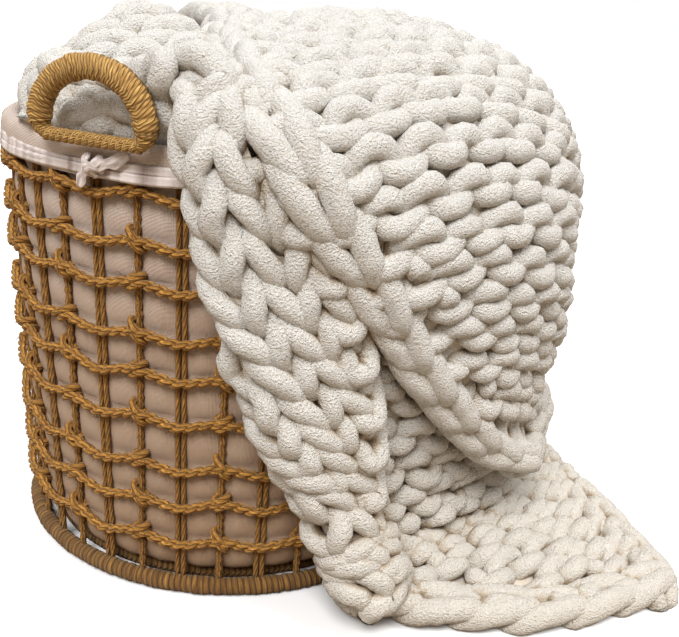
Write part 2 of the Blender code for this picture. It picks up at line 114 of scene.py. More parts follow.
class Tubes:
    """A growing pile of tubes that ends up as one mesh."""

    def __init__(self):
        self.points, self.faces, self.uvs, self.deep, self.outs, self.indoors = [], [], [], [], [], []
        self.count = 0

    def add(self, line, radius, lift, sides=8, closed=False, deep=0.0, lumps=0.0, flat=1.0, indoors=False):
        """One tube along a line.

        lift is a direction that is never along the line, flat squeezes the tube along it, lumps is the
        height of random bumps, and indoors marks the points that lie inside the basket."""
        line = np.asarray(line, float)
        ring = len(line)
        along = tangents(line, closed)
        lift = np.broadcast_to(np.asarray(lift, float), line.shape)
        side = np.cross(along, lift)
        side /= np.maximum(np.linalg.norm(side, axis=1, keepdims=True), 1e-9)
        top = np.cross(side, along)
        angles = np.linspace(0, 2 * np.pi, sides, endpoint=False)
        radii = np.broadcast_to(radius, ring)[:, None, None]
        way = side[:, None] * np.cos(angles)[None, :, None]
        way = way + flat * top[:, None] * np.sin(angles)[None, :, None]
        points = line[:, None] + radii * way
        if lumps:
            bump = smooth_noise(points, LUMP_WIDE, 1) + 0.6 * smooth_noise(points, LUMP_FINE, 2)
            points += way * (lumps * bump)[..., None]
        run = np.concatenate([[0], np.cumsum(np.linalg.norm(np.diff(line, axis=0), axis=1))])
        uv = np.stack(np.broadcast_arrays(run[:, None], angles[None] / (2 * np.pi)), axis=-1)
        start = self.count
        index = start + np.arange(ring * sides).reshape(ring, sides)
        if closed:
            index = np.vstack([index, index[:1]])
        near, far = index[:-1], index[1:]
        quads = np.stack([near, np.roll(near, -1, 1), np.roll(far, -1, 1), far], axis=-1).reshape(-1, 4)
        self.points.append(points.reshape(-1, 3))
        self.outs.append(way.reshape(-1, 3))
        self.uvs.append(uv.reshape(-1, 2))
        # painted shade of each ring of points, passed on to its points
        painted_shades = np.broadcast_to(np.asarray(deep, float).reshape(-1), ring)
        self.deep.append(np.repeat(painted_shades, sides))
        marks = np.broadcast_to(np.asarray(indoors, bool), ring)
        self.indoors.append(np.repeat(marks, sides))
        self.faces.append(quads)
        self.count += ring * sides
        if not closed:
            for row, turn in ((0, -1), (ring - 1, 1)):
                point_out = turn * along[row] * np.broadcast_to(radius, ring)[row] * TIP_OUT
                self.points.append(line[row:row + 1] + point_out)
                self.outs.append(turn * along[row:row + 1])
                self.uvs.append(uv[row, :1])
                self.deep.append(painted_shades[row:row + 1])
                self.indoors.append(marks[row:row + 1])
                rim = start + row * sides + np.arange(sides)
                after = np.roll(rim, -turn)
                tip = np.full(sides, self.count)
                self.faces.append(np.stack([rim, after, tip, tip], axis=-1))
                self.count += 1

    def triangles(self):
        return 2 * sum(len(f) for f in self.faces)

    def mesh(self, name, material, reshape=None, crowd=None):
        """Make the object. reshape may move all points at once; crowd gives each vertex its painted shade
        from its neighbours.
        """
        points = np.vstack(self.points)
        deep = np.concatenate(self.deep)
        if crowd is not None:
            deep = crowd(points, np.vstack(self.outs))
        if reshape is not None:
            points = reshape(points, np.concatenate(self.indoors))
        return mesh_object(name, points, np.vstack(self.faces), material, np.vstack(self.uvs), deep)

# %% Meshes from arrays


def mesh_object(name, points, quads, material, uvs=None, deep=None):
    """A smooth mesh from arrays; a quad whose last two corners are equal is a triangle."""
    quads = np.asarray(quads, np.int32)
    three = quads[:, 2] == quads[:, 3]
    sizes = np.where(three, 3, 4)
    keep = np.ones(quads.shape, bool)
    keep[three, 3] = False
    corners = quads[keep]
    mesh = bpy.data.meshes.new(name)
    mesh.vertices.add(len(points))
    mesh.vertices.foreach_set("co", np.asarray(points, np.float32).ravel())
    mesh.loops.add(len(corners))
    mesh.loops.foreach_set("vertex_index", corners)
    mesh.polygons.add(len(quads))
    mesh.polygons.foreach_set("loop_start", np.concatenate([[0], np.cumsum(sizes)[:-1]]).astype(np.int32))
    mesh.update(calc_edges=True)
    if uvs is not None:
        layer = mesh.uv_layers.new(name="UVMap")
        layer.data.foreach_set("uv", np.asarray(uvs, np.float32)[corners].ravel())
    # painted shade per vertex, which the materials turn into darker colour
    if deep is not None:
        shade = mesh.attributes.new("deep", "FLOAT", "POINT")
        shade.data.foreach_set("value", np.asarray(deep, np.float32))
    mesh.shade_smooth()
    mesh.materials.append(material)
    piece = bpy.data.objects.new(name, mesh)
    bpy.context.scene.collection.objects.link(piece)
    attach(piece, "root")
    print(f"{name}: {int((sizes - 2).sum())} triangles")
    return piece


def grid_quads(rows, columns, wrap=False):
    """Quads of a grid of points; wrap joins the last column to the first."""
    index = np.arange(rows * columns).reshape(rows, columns)
    if wrap:
        index = np.hstack([index, index[:, :1]])
    return np.stack([index[:-1, :-1], index[:-1, 1:], index[1:, 1:], index[1:, :-1]], axis=-1).reshape(-1, 4)

# %% [markdown]
# ## The blanket's surface
# The blanket is one sheet. A table gives its middle surface as sections from the floor in front, up
# the wall, over the rim, through the mouth and back over itself as the mound. The same sections
# shaped the plain solid, so the yarn laid on them lies where the solid is.

# %% Sections of the blanket
THICK, LAYER_GAP, CLEARANCE = 0.021, 0.004, 0.0022
LINER_OUT, CAGE, CUFF, FLARE, LINER_TOP = 0.1975, 0.0126, 0.2237, 0.010, 0.400
HOOP_R, HOOP_Z, TIE_Z = 0.2135, 0.388, 0.374
# name: left, middle, right (x, y, z each), curl of the left side in degrees, width of its hem
SECTIONS = [
    ("apron edge",      ( .113, -.234, .0175),  ( .240, -.254, .0105),  ( .403, -.211, .0105),  180, .020),
    ("apron front",     ( .108, -.235, .0310),  ( .234, -.212, .0105),  ( .404, -.172, .0105),  180, .022),
    ("apron middle",    ( .101, -.235, .0450),  ( .228, -.168, .0105),  ( .392, -.100, .0105),  180, .026),
    ("apron back",      ( .093, -.235, .0580),  ( .214, -.140, .0120),  ( .380, -.028, .0105),  180, .032),
    ("crease",          ( .084, -.234, .0720),  ( .197, -.140, .0260),  ( .362,  .046, .0140),  180, .036),
    ("wall foot",       ( .075, -.234, .0920),  ( .182, -.150, .0580),  ( .336,  .068, .0450),  180, .042),
    ("wall low",        ( .063, -.235, .1180),  ( .173, -.158, .1060),  ( .306,  .080, .0950),  180, .048),
    ("wall under",      ( .045, -.238, .1560),  ( .170, -.166, .1630),  ( .288,  .090, .1600),  180, .058),
    ("wall middle",     ( .021, -.240, .2150),  ( .166, -.174, .2300),  ( .279,  .090, .2250),  180, .070),
    ("wall over",       (-.001, -.241, .2850),  ( .160, -.180, .3000),  ( .268,  .094, .3000),  180, .070),
    ("wall top",        (-.014, -.240, .3450),  ( .152, -.184, .3550),  ( .257,  .096, .3560),  180, .054),
    ("rim outside",     (-.022, -.236, .3840),  ( .142, -.188, .3880),  ( .246,  .098, .3880),  180, .032),
    ("rim crest",       (-.031, -.216, .4120),  ( .124, -.172, .4120),  ( .222,  .104, .4120),  130, .014),
    ("rim inside",      (-.056, -.180, .4180),  ( .098, -.124, .4120),  ( .196,  .118, .4120),   10, .010),
    ("mouth front",     (-.106, -.143, .4180),  ( .045, -.060, .4110),  ( .172,  .136, .4110),  -40, .016),
    ("mouth middle",    (-.154, -.092, .4210),  ( .000, -.005, .4100),  ( .148,  .156, .4110),  -90, .033),
    ("mouth left",      (-.178, -.012, .4200),  (-.038,  .056, .4110),  ( .120,  .178, .4110),  -95, .040),
    ("mouth back left", (-.168,  .062, .4240),  (-.040,  .114, .4110),  ( .096,  .196, .4110),  -80, .030),
    ("mouth back",      (-.132,  .124, .4190),  (-.030,  .166, .4110),  ( .076,  .212, .4110),  -25, .012),
    ("fold under",      (-.096,  .180, .4140),  (-.012,  .212, .4110),  ( .074,  .234, .4110),  -15, .010),
    ("fold turn",       (-.072,  .216, .4380),  ( .010,  .238, .4360),  ( .084,  .250, .4340),    0, .006),
    ("fold over",       (-.046,  .192, .4680),  ( .034,  .216, .4550),  ( .100,  .236, .4520),   10, .006),
    ("crown back",      (-.018,  .120, .4770),  ( .080,  .150, .4620),  ( .153,  .198, .4620),   15, .006),
    ("crown",           (-.006,  .040, .4760),  ( .122,  .092, .4720),  ( .224,  .165, .4580),   15, .006),
    ("crown front",     (-.004, -.050, .4690),  ( .153,  .030, .4820),  ( .282,  .138, .4240),   15, .006),
    ("shoulder",        ( .000, -.140, .4560),  ( .185, -.030, .4720),  ( .319,  .120, .3740),   15, .006),
    ("mound top",       ( .022, -.222, .4380),  ( .222, -.080, .4430),  ( .332,  .106, .3170),   15, .006),
    ("mound upper",     ( .050, -.260, .4020),  ( .250, -.114, .4030),  ( .336,  .100, .2640),   15, .006),
    ("mound middle",    ( .080, -.258, .3560),  ( .274, -.130, .3500),  ( .334,  .094, .2150),   15, .006),
    ("mound lower",     ( .113, -.247, .3100),  ( .278, -.134, .2900),  ( .322,  .084, .1780),   15, .006),
    ("tongue upper",    ( .144, -.228, .2600),  ( .270, -.128, .2360),  ( .319,  .072, .1500),   15, .006),
    ("tongue",          ( .180, -.202, .2080),  ( .272, -.112, .1860),  ( .319,  .056, .1320),   15, .006),
    ("tongue lower",    ( .234, -.156, .1420),  ( .286, -.088, .1380),  ( .325,  .034, .1180),   15, .006),
    ("tongue tip",      ( .290, -.102, .0920),  ( .308, -.054, .0940),  ( .334,  .006, .1020),   15, .006),
]
# Soft ridges: section, across, rise, reach in sections, reach across
FOLDS = [(16.1, .28, .066, 2.7, .28), (16.4, .02, .012, 2.0, .20), (26.3, .62, .014, 2.2, .35),
         (28.3, .80, -.018, 1.3, .35), (30.2, .62, .008, 1.6, .35), (1.6, .62, .007, 1.4, .25)]
NAMES = [row[0] for row in SECTIONS]
CREST, MOUTH, TURN = (NAMES.index(n) for n in ("rim crest", "mouth front", "fold turn"))
SHEET = np.array([(*a, *b, *c, curl, hem) for _, a, b, c, curl, hem in SECTIONS])
print("sections:", len(SECTIONS))

# %% From sections to a grid of points


def section(row):
    """Left, middle, right point, curl and hem at a row number that need not be whole."""
    i = min(int(row), len(SHEET) - 2)
    t = row - i
    here, after = SHEET[i], SHEET[i + 1]
    before = SHEET[i - 1] if i > 0 else 2 * here - after
    beyond = SHEET[i + 2] if i + 2 < len(SHEET) else 2 * after - here
    return ((2 * t ** 3 - 3 * t ** 2 + 1) * here + (t ** 3 - 2 * t ** 2 + t) * (after - before) / 2
            + (3 * t ** 2 - 2 * t ** 3) * after + (t ** 3 - t ** 2) * (beyond - here) / 2)


def curve_through(ends, across):
    left, middle, right_end = ends
    return (left * (1 - across) * (1 - 2 * across) + 4 * middle * across * (1 - across)
            + right_end * across * (2 * across - 1))


def polar(p):
    return np.stack([np.hypot(p[:, 0], p[:, 1]), np.arctan2(p[:, 1], p[:, 0]), p[:, 2]], axis=1)


def cartesian(p):
    return np.stack([p[:, 0] * np.cos(p[:, 1]), p[:, 0] * np.sin(p[:, 1]), p[:, 2]], axis=1)


def off_basket(points, space):
    """Push points off the basket's wall and its round rim."""
    low, high = LINER_OUT + CAGE, CUFF
    side = low + (high - low) * points[:, 2] / TIE_Z + space
    reach = np.maximum(np.hypot(points[:, 0], points[:, 1]), 1e-6)
    wanted = np.where(points[:, 2] < HOOP_Z, np.maximum(reach, side), reach)
    off = np.stack([wanted - HOOP_R, points[:, 2] - HOOP_Z], axis=1)
    push = np.maximum((high - HOOP_R + space) / np.maximum(np.linalg.norm(off, axis=1), 1e-6), 1)
    points = points.copy()
    points[:, :2] *= ((HOOP_R + off[:, 0] * push) / reach)[:, None]
    points[:, 2] = HOOP_Z + off[:, 1] * push
    return points


def bell(distance):
    return (1 - np.clip(np.abs(distance), 0, 1) ** 2) ** 2


def grid_normals(grid):
    """Unit normals of a grid of points, rows along the cloth and columns across."""
    n = np.cross(np.gradient(grid, axis=1), np.gradient(grid, axis=0))
    return n / np.maximum(np.linalg.norm(n, axis=2, keepdims=True), 1e-12)


def cloth(rows, columns):
    """The blanket's middle surface without its rolled side."""
    across = np.linspace(0, 1, columns)[:, None]
    grid = []
    for row in rows:
        ends = section(row)[:9].reshape(3, 3)
        straight = curve_through(ends, across)
        wrapped = cartesian(curve_through(polar(ends), across))
        near = bell((row - CREST) / (MOUTH - CREST)) if row > CREST else 1.0
        points = near * wrapped + (1 - near) * straight
        grid.append(off_basket(points, THICK / 2 + CLEARANCE) if row < TURN else straight)
    grid = np.array(grid)
    normals = grid_normals(grid)
    for fold_row, fold_across, rise, reach_rows, reach_across in FOLDS:
        same_layer = (rows < TURN) == (fold_row < TURN)
        ridge_high = rise * bell((rows - fold_row) / reach_rows) * same_layer * np.where(rows < TURN, 1, -1)
        ridge_wide = bell((across[:, 0] - fold_across) / reach_across)
        grid += normals * ridge_high[:, None, None] * ridge_wide[None, :, None]
    return grid

# %% [markdown]
# ## The rolled side
# The blanket's left side is turned over onto itself, like a wide soft hem. Each row of points is
# carried on past its left end, round a bend as wide as one thickness and a small gap, and back over
# the row. Where the hem opens out, towards the mouth, the bend is less than half a turn and the hem
# simply goes on straight.

# %% The grid with its rolled side


def rolled(grid, rows, turn_points=8, hem_points=9):
    """The same grid with the rolled-over left side put before its first column."""
    normals = grid_normals(grid)
    radius = (THICK + LAYER_GAP) / 2
    result = []
    for line, normal, row in zip(grid, normals, rows):
        curl, hem = section(row)[9:]
        angle = math.radians(min(curl, 180))
        outward = line[0] - line[1]
        outward = unit(outward - normal[0] * (outward @ normal[0]))
        bend = max(radius * abs(angle) * (1 if curl > 120 else 1.5), 0.012)
        turned = []
        for part in np.linspace(0, 1, turn_points + 1)[1:]:
            half = angle * part / 2
            chord = bend * part * np.sinc(half / math.pi)
            turned.append(line[0] + chord * (math.cos(half) * outward + math.sin(half) * normal[0]))
        heading = math.cos(angle) * outward + math.sin(angle) * normal[0]
        run = np.concatenate([[0], np.cumsum(np.linalg.norm(np.diff(line, axis=0), axis=1))])
        flat = np.clip((curl - 120) / 60, 0, 1)
        flat = flat ** 2 * (3 - 2 * flat)
        end = turned[-1]
        for distance in np.linspace(0, hem, hem_points + 1)[1:]:
            under = np.array([np.interp(distance, run, line[:, k]) for k in range(3)])
            lift = np.array([np.interp(distance, run, normal[:, k]) for k in range(3)])
            turned.append((1 - flat) * (end + distance * heading) + flat * (under + 2 * radius * unit(lift)))
        result.append(np.vstack([turned[::-1], line]))
    return np.array(result)


ROWS_PER_SECTION, COLUMNS = 6, 41
ROWS = np.linspace(0, len(SHEET) - 1, ROWS_PER_SECTION * (len(SHEET) - 1) + 1)
surface = rolled(cloth(ROWS, COLUMNS), ROWS)
surface_up = grid_normals(surface)
print("surface grid:", surface.shape[:2])

# %% [markdown]
# ## Gauge: where each stitch sits
# Knitting has wales (columns of stitches) and courses (rows of them), a few centimetres apart. The
# surface is first measured in real distances: q runs across from the right-hand edge and p runs
# along each wale. A regular net of stitches in p and q then keeps its size wherever the cloth bends.
# Wales that would leave the cloth simply end at its edge, where a chain of yarn covers them.

# %% Measure the surface
Q_STEP, P_STEP, WIDEST = 0.006, 0.005, 0.64
EDGE_REACH, END_ROOM, END_REACH = 0.020, 0.0225, 0.030


def by_distance(line, normals, wanted):
    """Points at these distances from the right-hand end of a line, carried straight on past its end."""
    line, normals = line[::-1], normals[::-1]
    run = np.concatenate([[0], np.cumsum(np.linalg.norm(np.diff(line, axis=0), axis=1))])
    spot = np.stack([np.interp(wanted, run, line[:, k]) for k in range(3)], axis=1)
    lift = np.stack([np.interp(wanted, run, normals[:, k]) for k in range(3)], axis=1)
    spot += np.maximum(wanted - run[-1], 0)[:, None] * unit(line[-1] - line[-2])
    spot -= np.maximum(-wanted, 0)[:, None] * unit(line[1] - line[0])
    return spot, lift, run[-1]


class Gauge:
    """One layer of the cloth, measured along (p) and across (q); cast_off says which end is a real one."""

    def __init__(self, first, last, anchor, cast_off):
        picked = (ROWS >= first) & (ROWS <= last)
        rows = ROWS[picked]
        self.q = np.arange(-EDGE_REACH, WIDEST, Q_STEP)
        parts = [by_distance(s, n, self.q) for s, n in zip(surface[picked], surface_up[picked])]
        spots, lifts, width = (np.array(x) for x in zip(*parts))
        start = int(np.abs(rows - anchor).argmin())
        ranges, travel = [], []
        for j, q in enumerate(self.q):
            on = width >= q - EDGE_REACH
            if not on.any():
                break
            near = np.flatnonzero(on)[np.abs(np.flatnonzero(on) - start).argmin()]
            low, high = near, near
            while low > 0 and on[low - 1]:
                low -= 1
            while high < len(rows) - 1 and on[high + 1]:
                high += 1
            if high - low < 2:
                break
            steps = np.linalg.norm(np.diff(spots[low:high + 1, j], axis=0), axis=1)
            run = np.full(len(rows), np.nan)
            run[low:high + 1] = np.concatenate([[0], np.cumsum(steps)])
            run -= run[near]
            if j:
                run += np.interp(near, *travel[-1])
            ranges.append((low, high))
            travel.append((np.arange(low, high + 1), run[low:high + 1]))
        self.q = self.q[:len(ranges)]
        shortest, longest = min(t[1][0] for t in travel), max(t[1][-1] for t in travel)
        self.p = np.arange(shortest - END_REACH, longest + END_REACH, P_STEP)
        self.spot = np.zeros((len(self.p), len(self.q), 3))
        self.lift = np.zeros_like(self.spot)
        self.inside = np.zeros(self.spot.shape[:2])
        self.row = np.zeros(self.spot.shape[:2])
        self.past = np.zeros(self.spot.shape[:2])
        self.inward = 1 if cast_off == "first" else -1
        for j, ((low, high), (_, run)) in enumerate(zip(ranges, travel)):
            for k in range(3):
                self.spot[:, j, k] = np.interp(self.p, run, spots[low:high + 1, j, k])
                self.lift[:, j, k] = np.interp(self.p, run, lifts[low:high + 1, j, k])
            for end, inner, past in ((0, 1, run[0] - self.p), (-1, -2, self.p - run[-1])):
                way = unit(spots[low:high + 1, j][end] - spots[low:high + 1, j][inner])
                self.spot[:, j] += np.clip(past, 0, .05)[:, None] * way
            row_at = np.interp(self.p, run, np.arange(low, high + 1))
            self.row[:, j] = np.interp(row_at, np.arange(len(rows)), rows)
            room = np.minimum(np.interp(row_at, np.arange(len(rows)), width) - self.q[j], self.q[j])
            past_first, past_last = self.p - run[0], run[-1] - self.p
            past_end = past_first if cast_off == "first" else past_last
            self.past[:, j] = past_end
            self.inside[:, j] = np.minimum(room, np.minimum(past_first, past_last))
            self.inside[:, j] = np.minimum(self.inside[:, j], past_end - END_ROOM)

    def at(self, p, q):
        """Point, normal, room to the edges, section number and distance from the cast-off end."""
        i = np.clip((p - self.p[0]) / P_STEP, 0, len(self.p) - 1.001)
        j = np.clip((q - self.q[0]) / Q_STEP, 0, len(self.q) - 1.001)
        a, b = i.astype(int), j.astype(int)
        u, v = (i - a)[..., None], (j - b)[..., None]
        found = []
        singles = [table[..., None] for table in (self.inside, self.row, self.past)]
        for table in (self.spot, self.lift, *singles):
            found.append((1 - u) * (1 - v) * table[a, b] + u * (1 - v) * table[a + 1, b]
                         + (1 - u) * v * table[a, b + 1] + u * v * table[a + 1, b + 1])
        spot, lift, room, row, past = found
        lift = lift / np.linalg.norm(lift, axis=-1, keepdims=True)
        return spot, lift, room[..., 0], row[..., 0], past[..., 0]


lower = Gauge(0, TURN, NAMES.index("wall foot"), "first")
mound = Gauge(TURN, len(SHEET) - 1, NAMES.index("mound upper"), "last")
print("lower layer p", lower.p[[0, -1]].round(3), "q", lower.q[[0, -1]].round(3),
      "mound p", mound.p[[0, -1]].round(3), "q", mound.q[[0, -1]].round(3))

# %% [markdown]
# ## Finishes
# Two effects are shared by several materials, so each is a node group with its own inputs. "fuzz"
# gives a height made of fine fibres, tufts and soft lumps. "strands" gives the slanting turns of
# twisted or wound cord from a tube's own coordinates, the fibres along them and one tone per turn;
# its Chevron input bends the turns to and fro, as on a plaited grip. Each material mixes its colours
# and its Bump itself.

# %% Node groups and a small node writer


def new_group(name, inputs, outputs):
    """A shader group; an input without a value is a vector, the others are numbers."""
    group = bpy.data.node_groups.new(name, "ShaderNodeTree")
    for label, value in inputs:
        kind = "NodeSocketVector" if value is None else "NodeSocketFloat"
        socket = group.interface.new_socket(label, in_out="INPUT", socket_type=kind)
        if value is not None:
            socket.default_value = value
    for label in outputs:
        group.interface.new_socket(label, in_out="OUTPUT", socket_type="NodeSocketFloat")
    return group, group.nodes.new("NodeGroupInput"), group.nodes.new("NodeGroupOutput")


def node(tree, kind, settings=(), **links):
    """Add a node; settings are attributes, links are inputs by name or number (value or socket)."""
    made = tree.nodes.new(kind)
    for key, value in dict(settings).items():
        setattr(made, key, value)
    for key, value in links.items():
        numbered = key[0] == "i" and key[1:].isdigit()
        socket = made.inputs[int(key[1:]) if numbered else key]
        if isinstance(value, bpy.types.NodeSocket):
            tree.links.new(value, socket)
        else:
            socket.default_value = value
    return made


def maths(tree, operation, *values, clamp=False):
    """One Math node; values may be numbers or sockets."""
    links = {f"i{k}": value for k, value in enumerate(values)}
    return node(tree, "ShaderNodeMath", {"operation": operation, "use_clamp": clamp}, **links).outputs[0]


fuzz, f_in, f_out = new_group("fuzz", [("Place", None), ("Fibre", 900.0), ("Lump", 220.0)],
                              ["Height", "Mottle"])
fine = node(fuzz, "ShaderNodeTexNoise", {}, Vector=f_in.outputs["Place"], Scale=f_in.outputs["Fibre"],
            Detail=3.0, Roughness=0.7).outputs["Fac"]
lump = node(fuzz, "ShaderNodeTexVoronoi", {"feature": "SMOOTH_F1"}, Vector=f_in.outputs["Place"],
            Scale=f_in.outputs["Lump"], Smoothness=0.6).outputs["Distance"]
tuft = node(fuzz, "ShaderNodeTexNoise", {}, Vector=f_in.outputs["Place"], Scale=f_in.outputs["Lump"],
            Detail=1.0, Roughness=0.6).outputs["Fac"]
mottle = node(fuzz, "ShaderNodeTexNoise", {}, Vector=f_in.outputs["Place"], Scale=14.0,
              Detail=2.0).outputs["Fac"]
nap = maths(fuzz, "ADD", maths(fuzz, "MULTIPLY", fine, 0.5), maths(fuzz, "MULTIPLY", tuft, 0.8))
fuzz.links.new(maths(fuzz, "ADD", nap, maths(fuzz, "MULTIPLY", lump, -0.25)), f_out.inputs["Height"])
fuzz.links.new(mottle, f_out.inputs["Mottle"])

strand_inputs = [("UV", None), ("Turns", 1.0), ("Pitch", 0.01), ("Chevron", 0.0)]
strands, s_in, s_out = new_group("strands", strand_inputs, ["Height", "Fibre", "Tone"])
split = node(strands, "ShaderNodeSeparateXYZ", {}, Vector=s_in.outputs["UV"])
turn = maths(strands, "ADD", maths(strands, "DIVIDE", split.outputs["X"], s_in.outputs["Pitch"]),
             maths(strands, "MULTIPLY", split.outputs["Y"], s_in.outputs["Turns"]))
zigzag = maths(strands, "PINGPONG", maths(strands, "MULTIPLY", split.outputs["Y"], 4.0), 1.0)
turn = maths(strands, "ADD", turn, maths(strands, "MULTIPLY", zigzag, s_in.outputs["Chevron"]))
tone = node(strands, "ShaderNodeTexWhiteNoise", {"noise_dimensions": "1D"},
            W=maths(strands, "FLOOR", turn)).outputs["Value"]
strands.links.new(tone, s_out.inputs["Tone"])
ridge = maths(strands, "ABSOLUTE", maths(strands, "SINE", maths(strands, "MULTIPLY", turn, math.pi)))
hair_place = node(strands, "ShaderNodeCombineXYZ", {}, X=maths(strands, "MULTIPLY", turn, 6.0),
                  Y=maths(strands, "MULTIPLY", split.outputs["X"], 260.0),
                  Z=maths(strands, "MULTIPLY", split.outputs["Y"], 3.0)).outputs["Vector"]
hair = node(strands, "ShaderNodeTexNoise", {}, Vector=hair_place, Scale=1.0, Detail=3.0).outputs["Fac"]
strands.links.new(maths(strands, "POWER", ridge, 0.6), s_out.inputs["Height"])
strands.links.new(hair, s_out.inputs["Fibre"])
print("node groups:", fuzz.name, strands.name)

# %% [markdown]
# ## Writing materials
# Every finish here is a Principled shader fed by a few nodes. Five small helpers write the parts that
# they have in common: the material, a shared group, a colour ramp, a mix of two colours and a bump.

# %% Material helpers


def new_material(name, roughness, sheen=0.0, sheen_tint=(1, 1, 1, 1)):
    material = bpy.data.materials.new(name)
    material.use_nodes = True
    shader = material.node_tree.nodes["Principled BSDF"]
    shader.inputs["Roughness"].default_value = roughness
    shader.inputs["Sheen Weight"].default_value = sheen
    shader.inputs["Sheen Roughness"].default_value = 0.6
    shader.inputs["Sheen Tint"].default_value = sheen_tint
    shader.inputs["Specular IOR Level"].default_value = 0.25
    return material, material.node_tree, shader


def use_group(tree, group, **links):
    """Place a shared group in a material, with its own values for the inputs."""
    made = tree.nodes.new("ShaderNodeGroup")
    made.node_tree = group
    for key, value in links.items():
        if isinstance(value, bpy.types.NodeSocket):
            tree.links.new(value, made.inputs[key])
        else:
            made.inputs[key].default_value = value
    return made.outputs


def ramp(tree, factor, *stops):
    """A colour ramp with (position, (red, green, blue)) stops."""
    made = node(tree, "ShaderNodeValToRGB", {}, Fac=factor)
    elements = made.color_ramp.elements
    while len(elements) < len(stops):
        elements.new(0.5)
    for element, (position, colour) in zip(elements, stops):
        element.position = position
        element.color = (*colour, 1)
    return made.outputs["Color"]


def mixed(tree, factor, a, b, blend="MIX"):
    """Two colours blended by a factor; each may be a value or a socket."""
    made = node(tree, "ShaderNodeMix", {"data_type": "RGBA", "blend_type": blend})
    for socket, value in zip((made.inputs[0], made.inputs[6], made.inputs[7]), (factor, a, b)):
        if isinstance(value, bpy.types.NodeSocket):
            tree.links.new(value, socket)
        else:
            socket.default_value = value
    return made.outputs[2]


def bumped(tree, shader, height, distance, strength=1.0):
    """Feed a height to the shader's Normal through a Bump node; distance is in metres."""
    bump = node(tree, "ShaderNodeBump", {}, Height=height, Distance=distance, Strength=strength)
    tree.links.new(bump.outputs["Normal"], shader.inputs["Normal"])

# %% [markdown]
# ## Chenille yarn
# Chenille is a thick cord covered in short pile. It has almost no gloss and a soft rim of light
# where the pile stands up, which is what sheen gives. Deep between two loops little light gets in and
# the pile looks warmer, so that shade is painted into the colour from the value that each vertex
# carries. Real fibres would need millions of hairs; a bump of tufts with painted shade in the specks
# between them reads as pile at a fraction of that.

# %% The blanket's yarn
yarn, tree, shader = new_material("blanket_yarn", 0.95, sheen=0.30, sheen_tint=(1, .97, .92, 1))
place = node(tree, "ShaderNodeTexCoord").outputs["Object"]
pile = use_group(tree, fuzz, Place=place, Fibre=1100.0, Lump=560.0)
deep = node(tree, "ShaderNodeAttribute", {"attribute_name": "deep"}).outputs["Fac"]
# painted shade: the colour darkens and warms with the vertex's painted shade value
colour = ramp(tree, deep, (0.0, (.925, .905, .865)), (0.30, (.86, .80, .71)), (0.65, (.58, .45, .30)),
              (1.0, (.20, .110, .050)))
# painted shade in the low specks between the tufts; shady is the darker copy of the colour
shady = mixed(tree, 1.0, colour, (.80, .72, .62, 1), "MULTIPLY")
tuft_gap_shade = maths(tree, "MULTIPLY", maths(tree, "SUBTRACT", 0.57, pile["Height"]), 3.0, clamp=True)
colour = mixed(tree, tuft_gap_shade, colour, shady)
mottle = maths(tree, "MULTIPLY", maths(tree, "SUBTRACT", pile["Mottle"], 0.5), 0.5, clamp=True)
tree.links.new(mixed(tree, mottle, colour, (.78, .73, .66, 1)), shader.inputs["Base Color"])
bumped(tree, shader, pile["Height"], 0.0050, 1.0)
print("material:", yarn.name)

# %% [markdown]
# ## Loops of yarn
# One course of plain knitting is a single yarn that swings up into a head and down into a foot for
# every stitch, while it also swings from the back of the cloth to the front. Three sine waves give
# that path. Laid on the measured surface, the feet of one course hang in the heads of the one below.
# Heads and feet show on the purl side as bumps, and the legs between them show on the other side as
# columns of V, which is what the rolled-over side of the blanket shows.

# %% Yarn that gives way to the floor and the basket
GAP, FLOOR_GIVE, LINER_GIVE = 0.0006, 0.004, 0.012
MOUTH_START, MOUTH_HIGH, MOUTH_WIDER = 0.002, 0.014, 0.060


def settle(points, indoors):
    """Yarn is soft: it flattens on the floor, the cords, the rim and, indoors, against the liner.

    Above the cuff the room indoors widens, so that the heap may bulge over the rim."""
    points = points.copy()
    level = points[:, 2]
    low = level < FLOOR_GIVE
    points[low, 2] = GAP + (FLOOR_GIVE - GAP) * np.exp((level[low] - FLOOR_GIVE) / (FLOOR_GIVE - GAP))
    reach = np.hypot(points[:, 0], points[:, 1])
    over = ~indoors & (reach > LINER_OUT)
    points[over] = off_basket(points[over], GAP)
    widening = np.clip((points[:, 2] - HOOP_Z - MOUTH_START) / MOUTH_HIGH, 0, 1)
    room = LINER_OUT - .004 + MOUTH_WIDER * widening
    tight = indoors & (reach > room - LINER_GIVE)
    pressed = room - LINER_GIVE * np.exp(-(reach - room + LINER_GIVE) / LINER_GIVE)
    points[tight, :2] *= (pressed / np.maximum(reach, 1e-6))[tight, None]
    return points

# %% Knit the two layers
WALE, COURSE, LOWER_COURSE = 0.0415, 0.0315, 0.0350
YARN = 0.0098
LOOP_HIGH, LOOP_WIDE, LOWER_LOOP_WIDE, LOOP_DEEP = 0.82, 0.250, 0.235, 0.0076
POINTS_PER_STITCH, YARN_SIDES, YARN_LUMPS = 30, 12, 0.0012
LEAST_ROOM, END_LIMIT = 0.0005, 0.008
APRON_RELIEF = 0.55


def slack(q, p):
    """How far hand knitting strays from its net: across, along and in depth, in metres."""
    spot = np.stack([q, p, 0 * q], axis=1)
    slow = [smooth_noise(spot, 0.085, seed) for seed in (3, 4, 5)]
    quick = [smooth_noise(spot, 0.030, seed) for seed in (6, 7, 8)]
    sizes = ((.0085, .0044), (.0075, .0042), (.0030, .0028))
    return [large * a + small * b for (large, small), a, b in zip(sizes, slow, quick)]


FOOT = NAMES.index("wall foot")


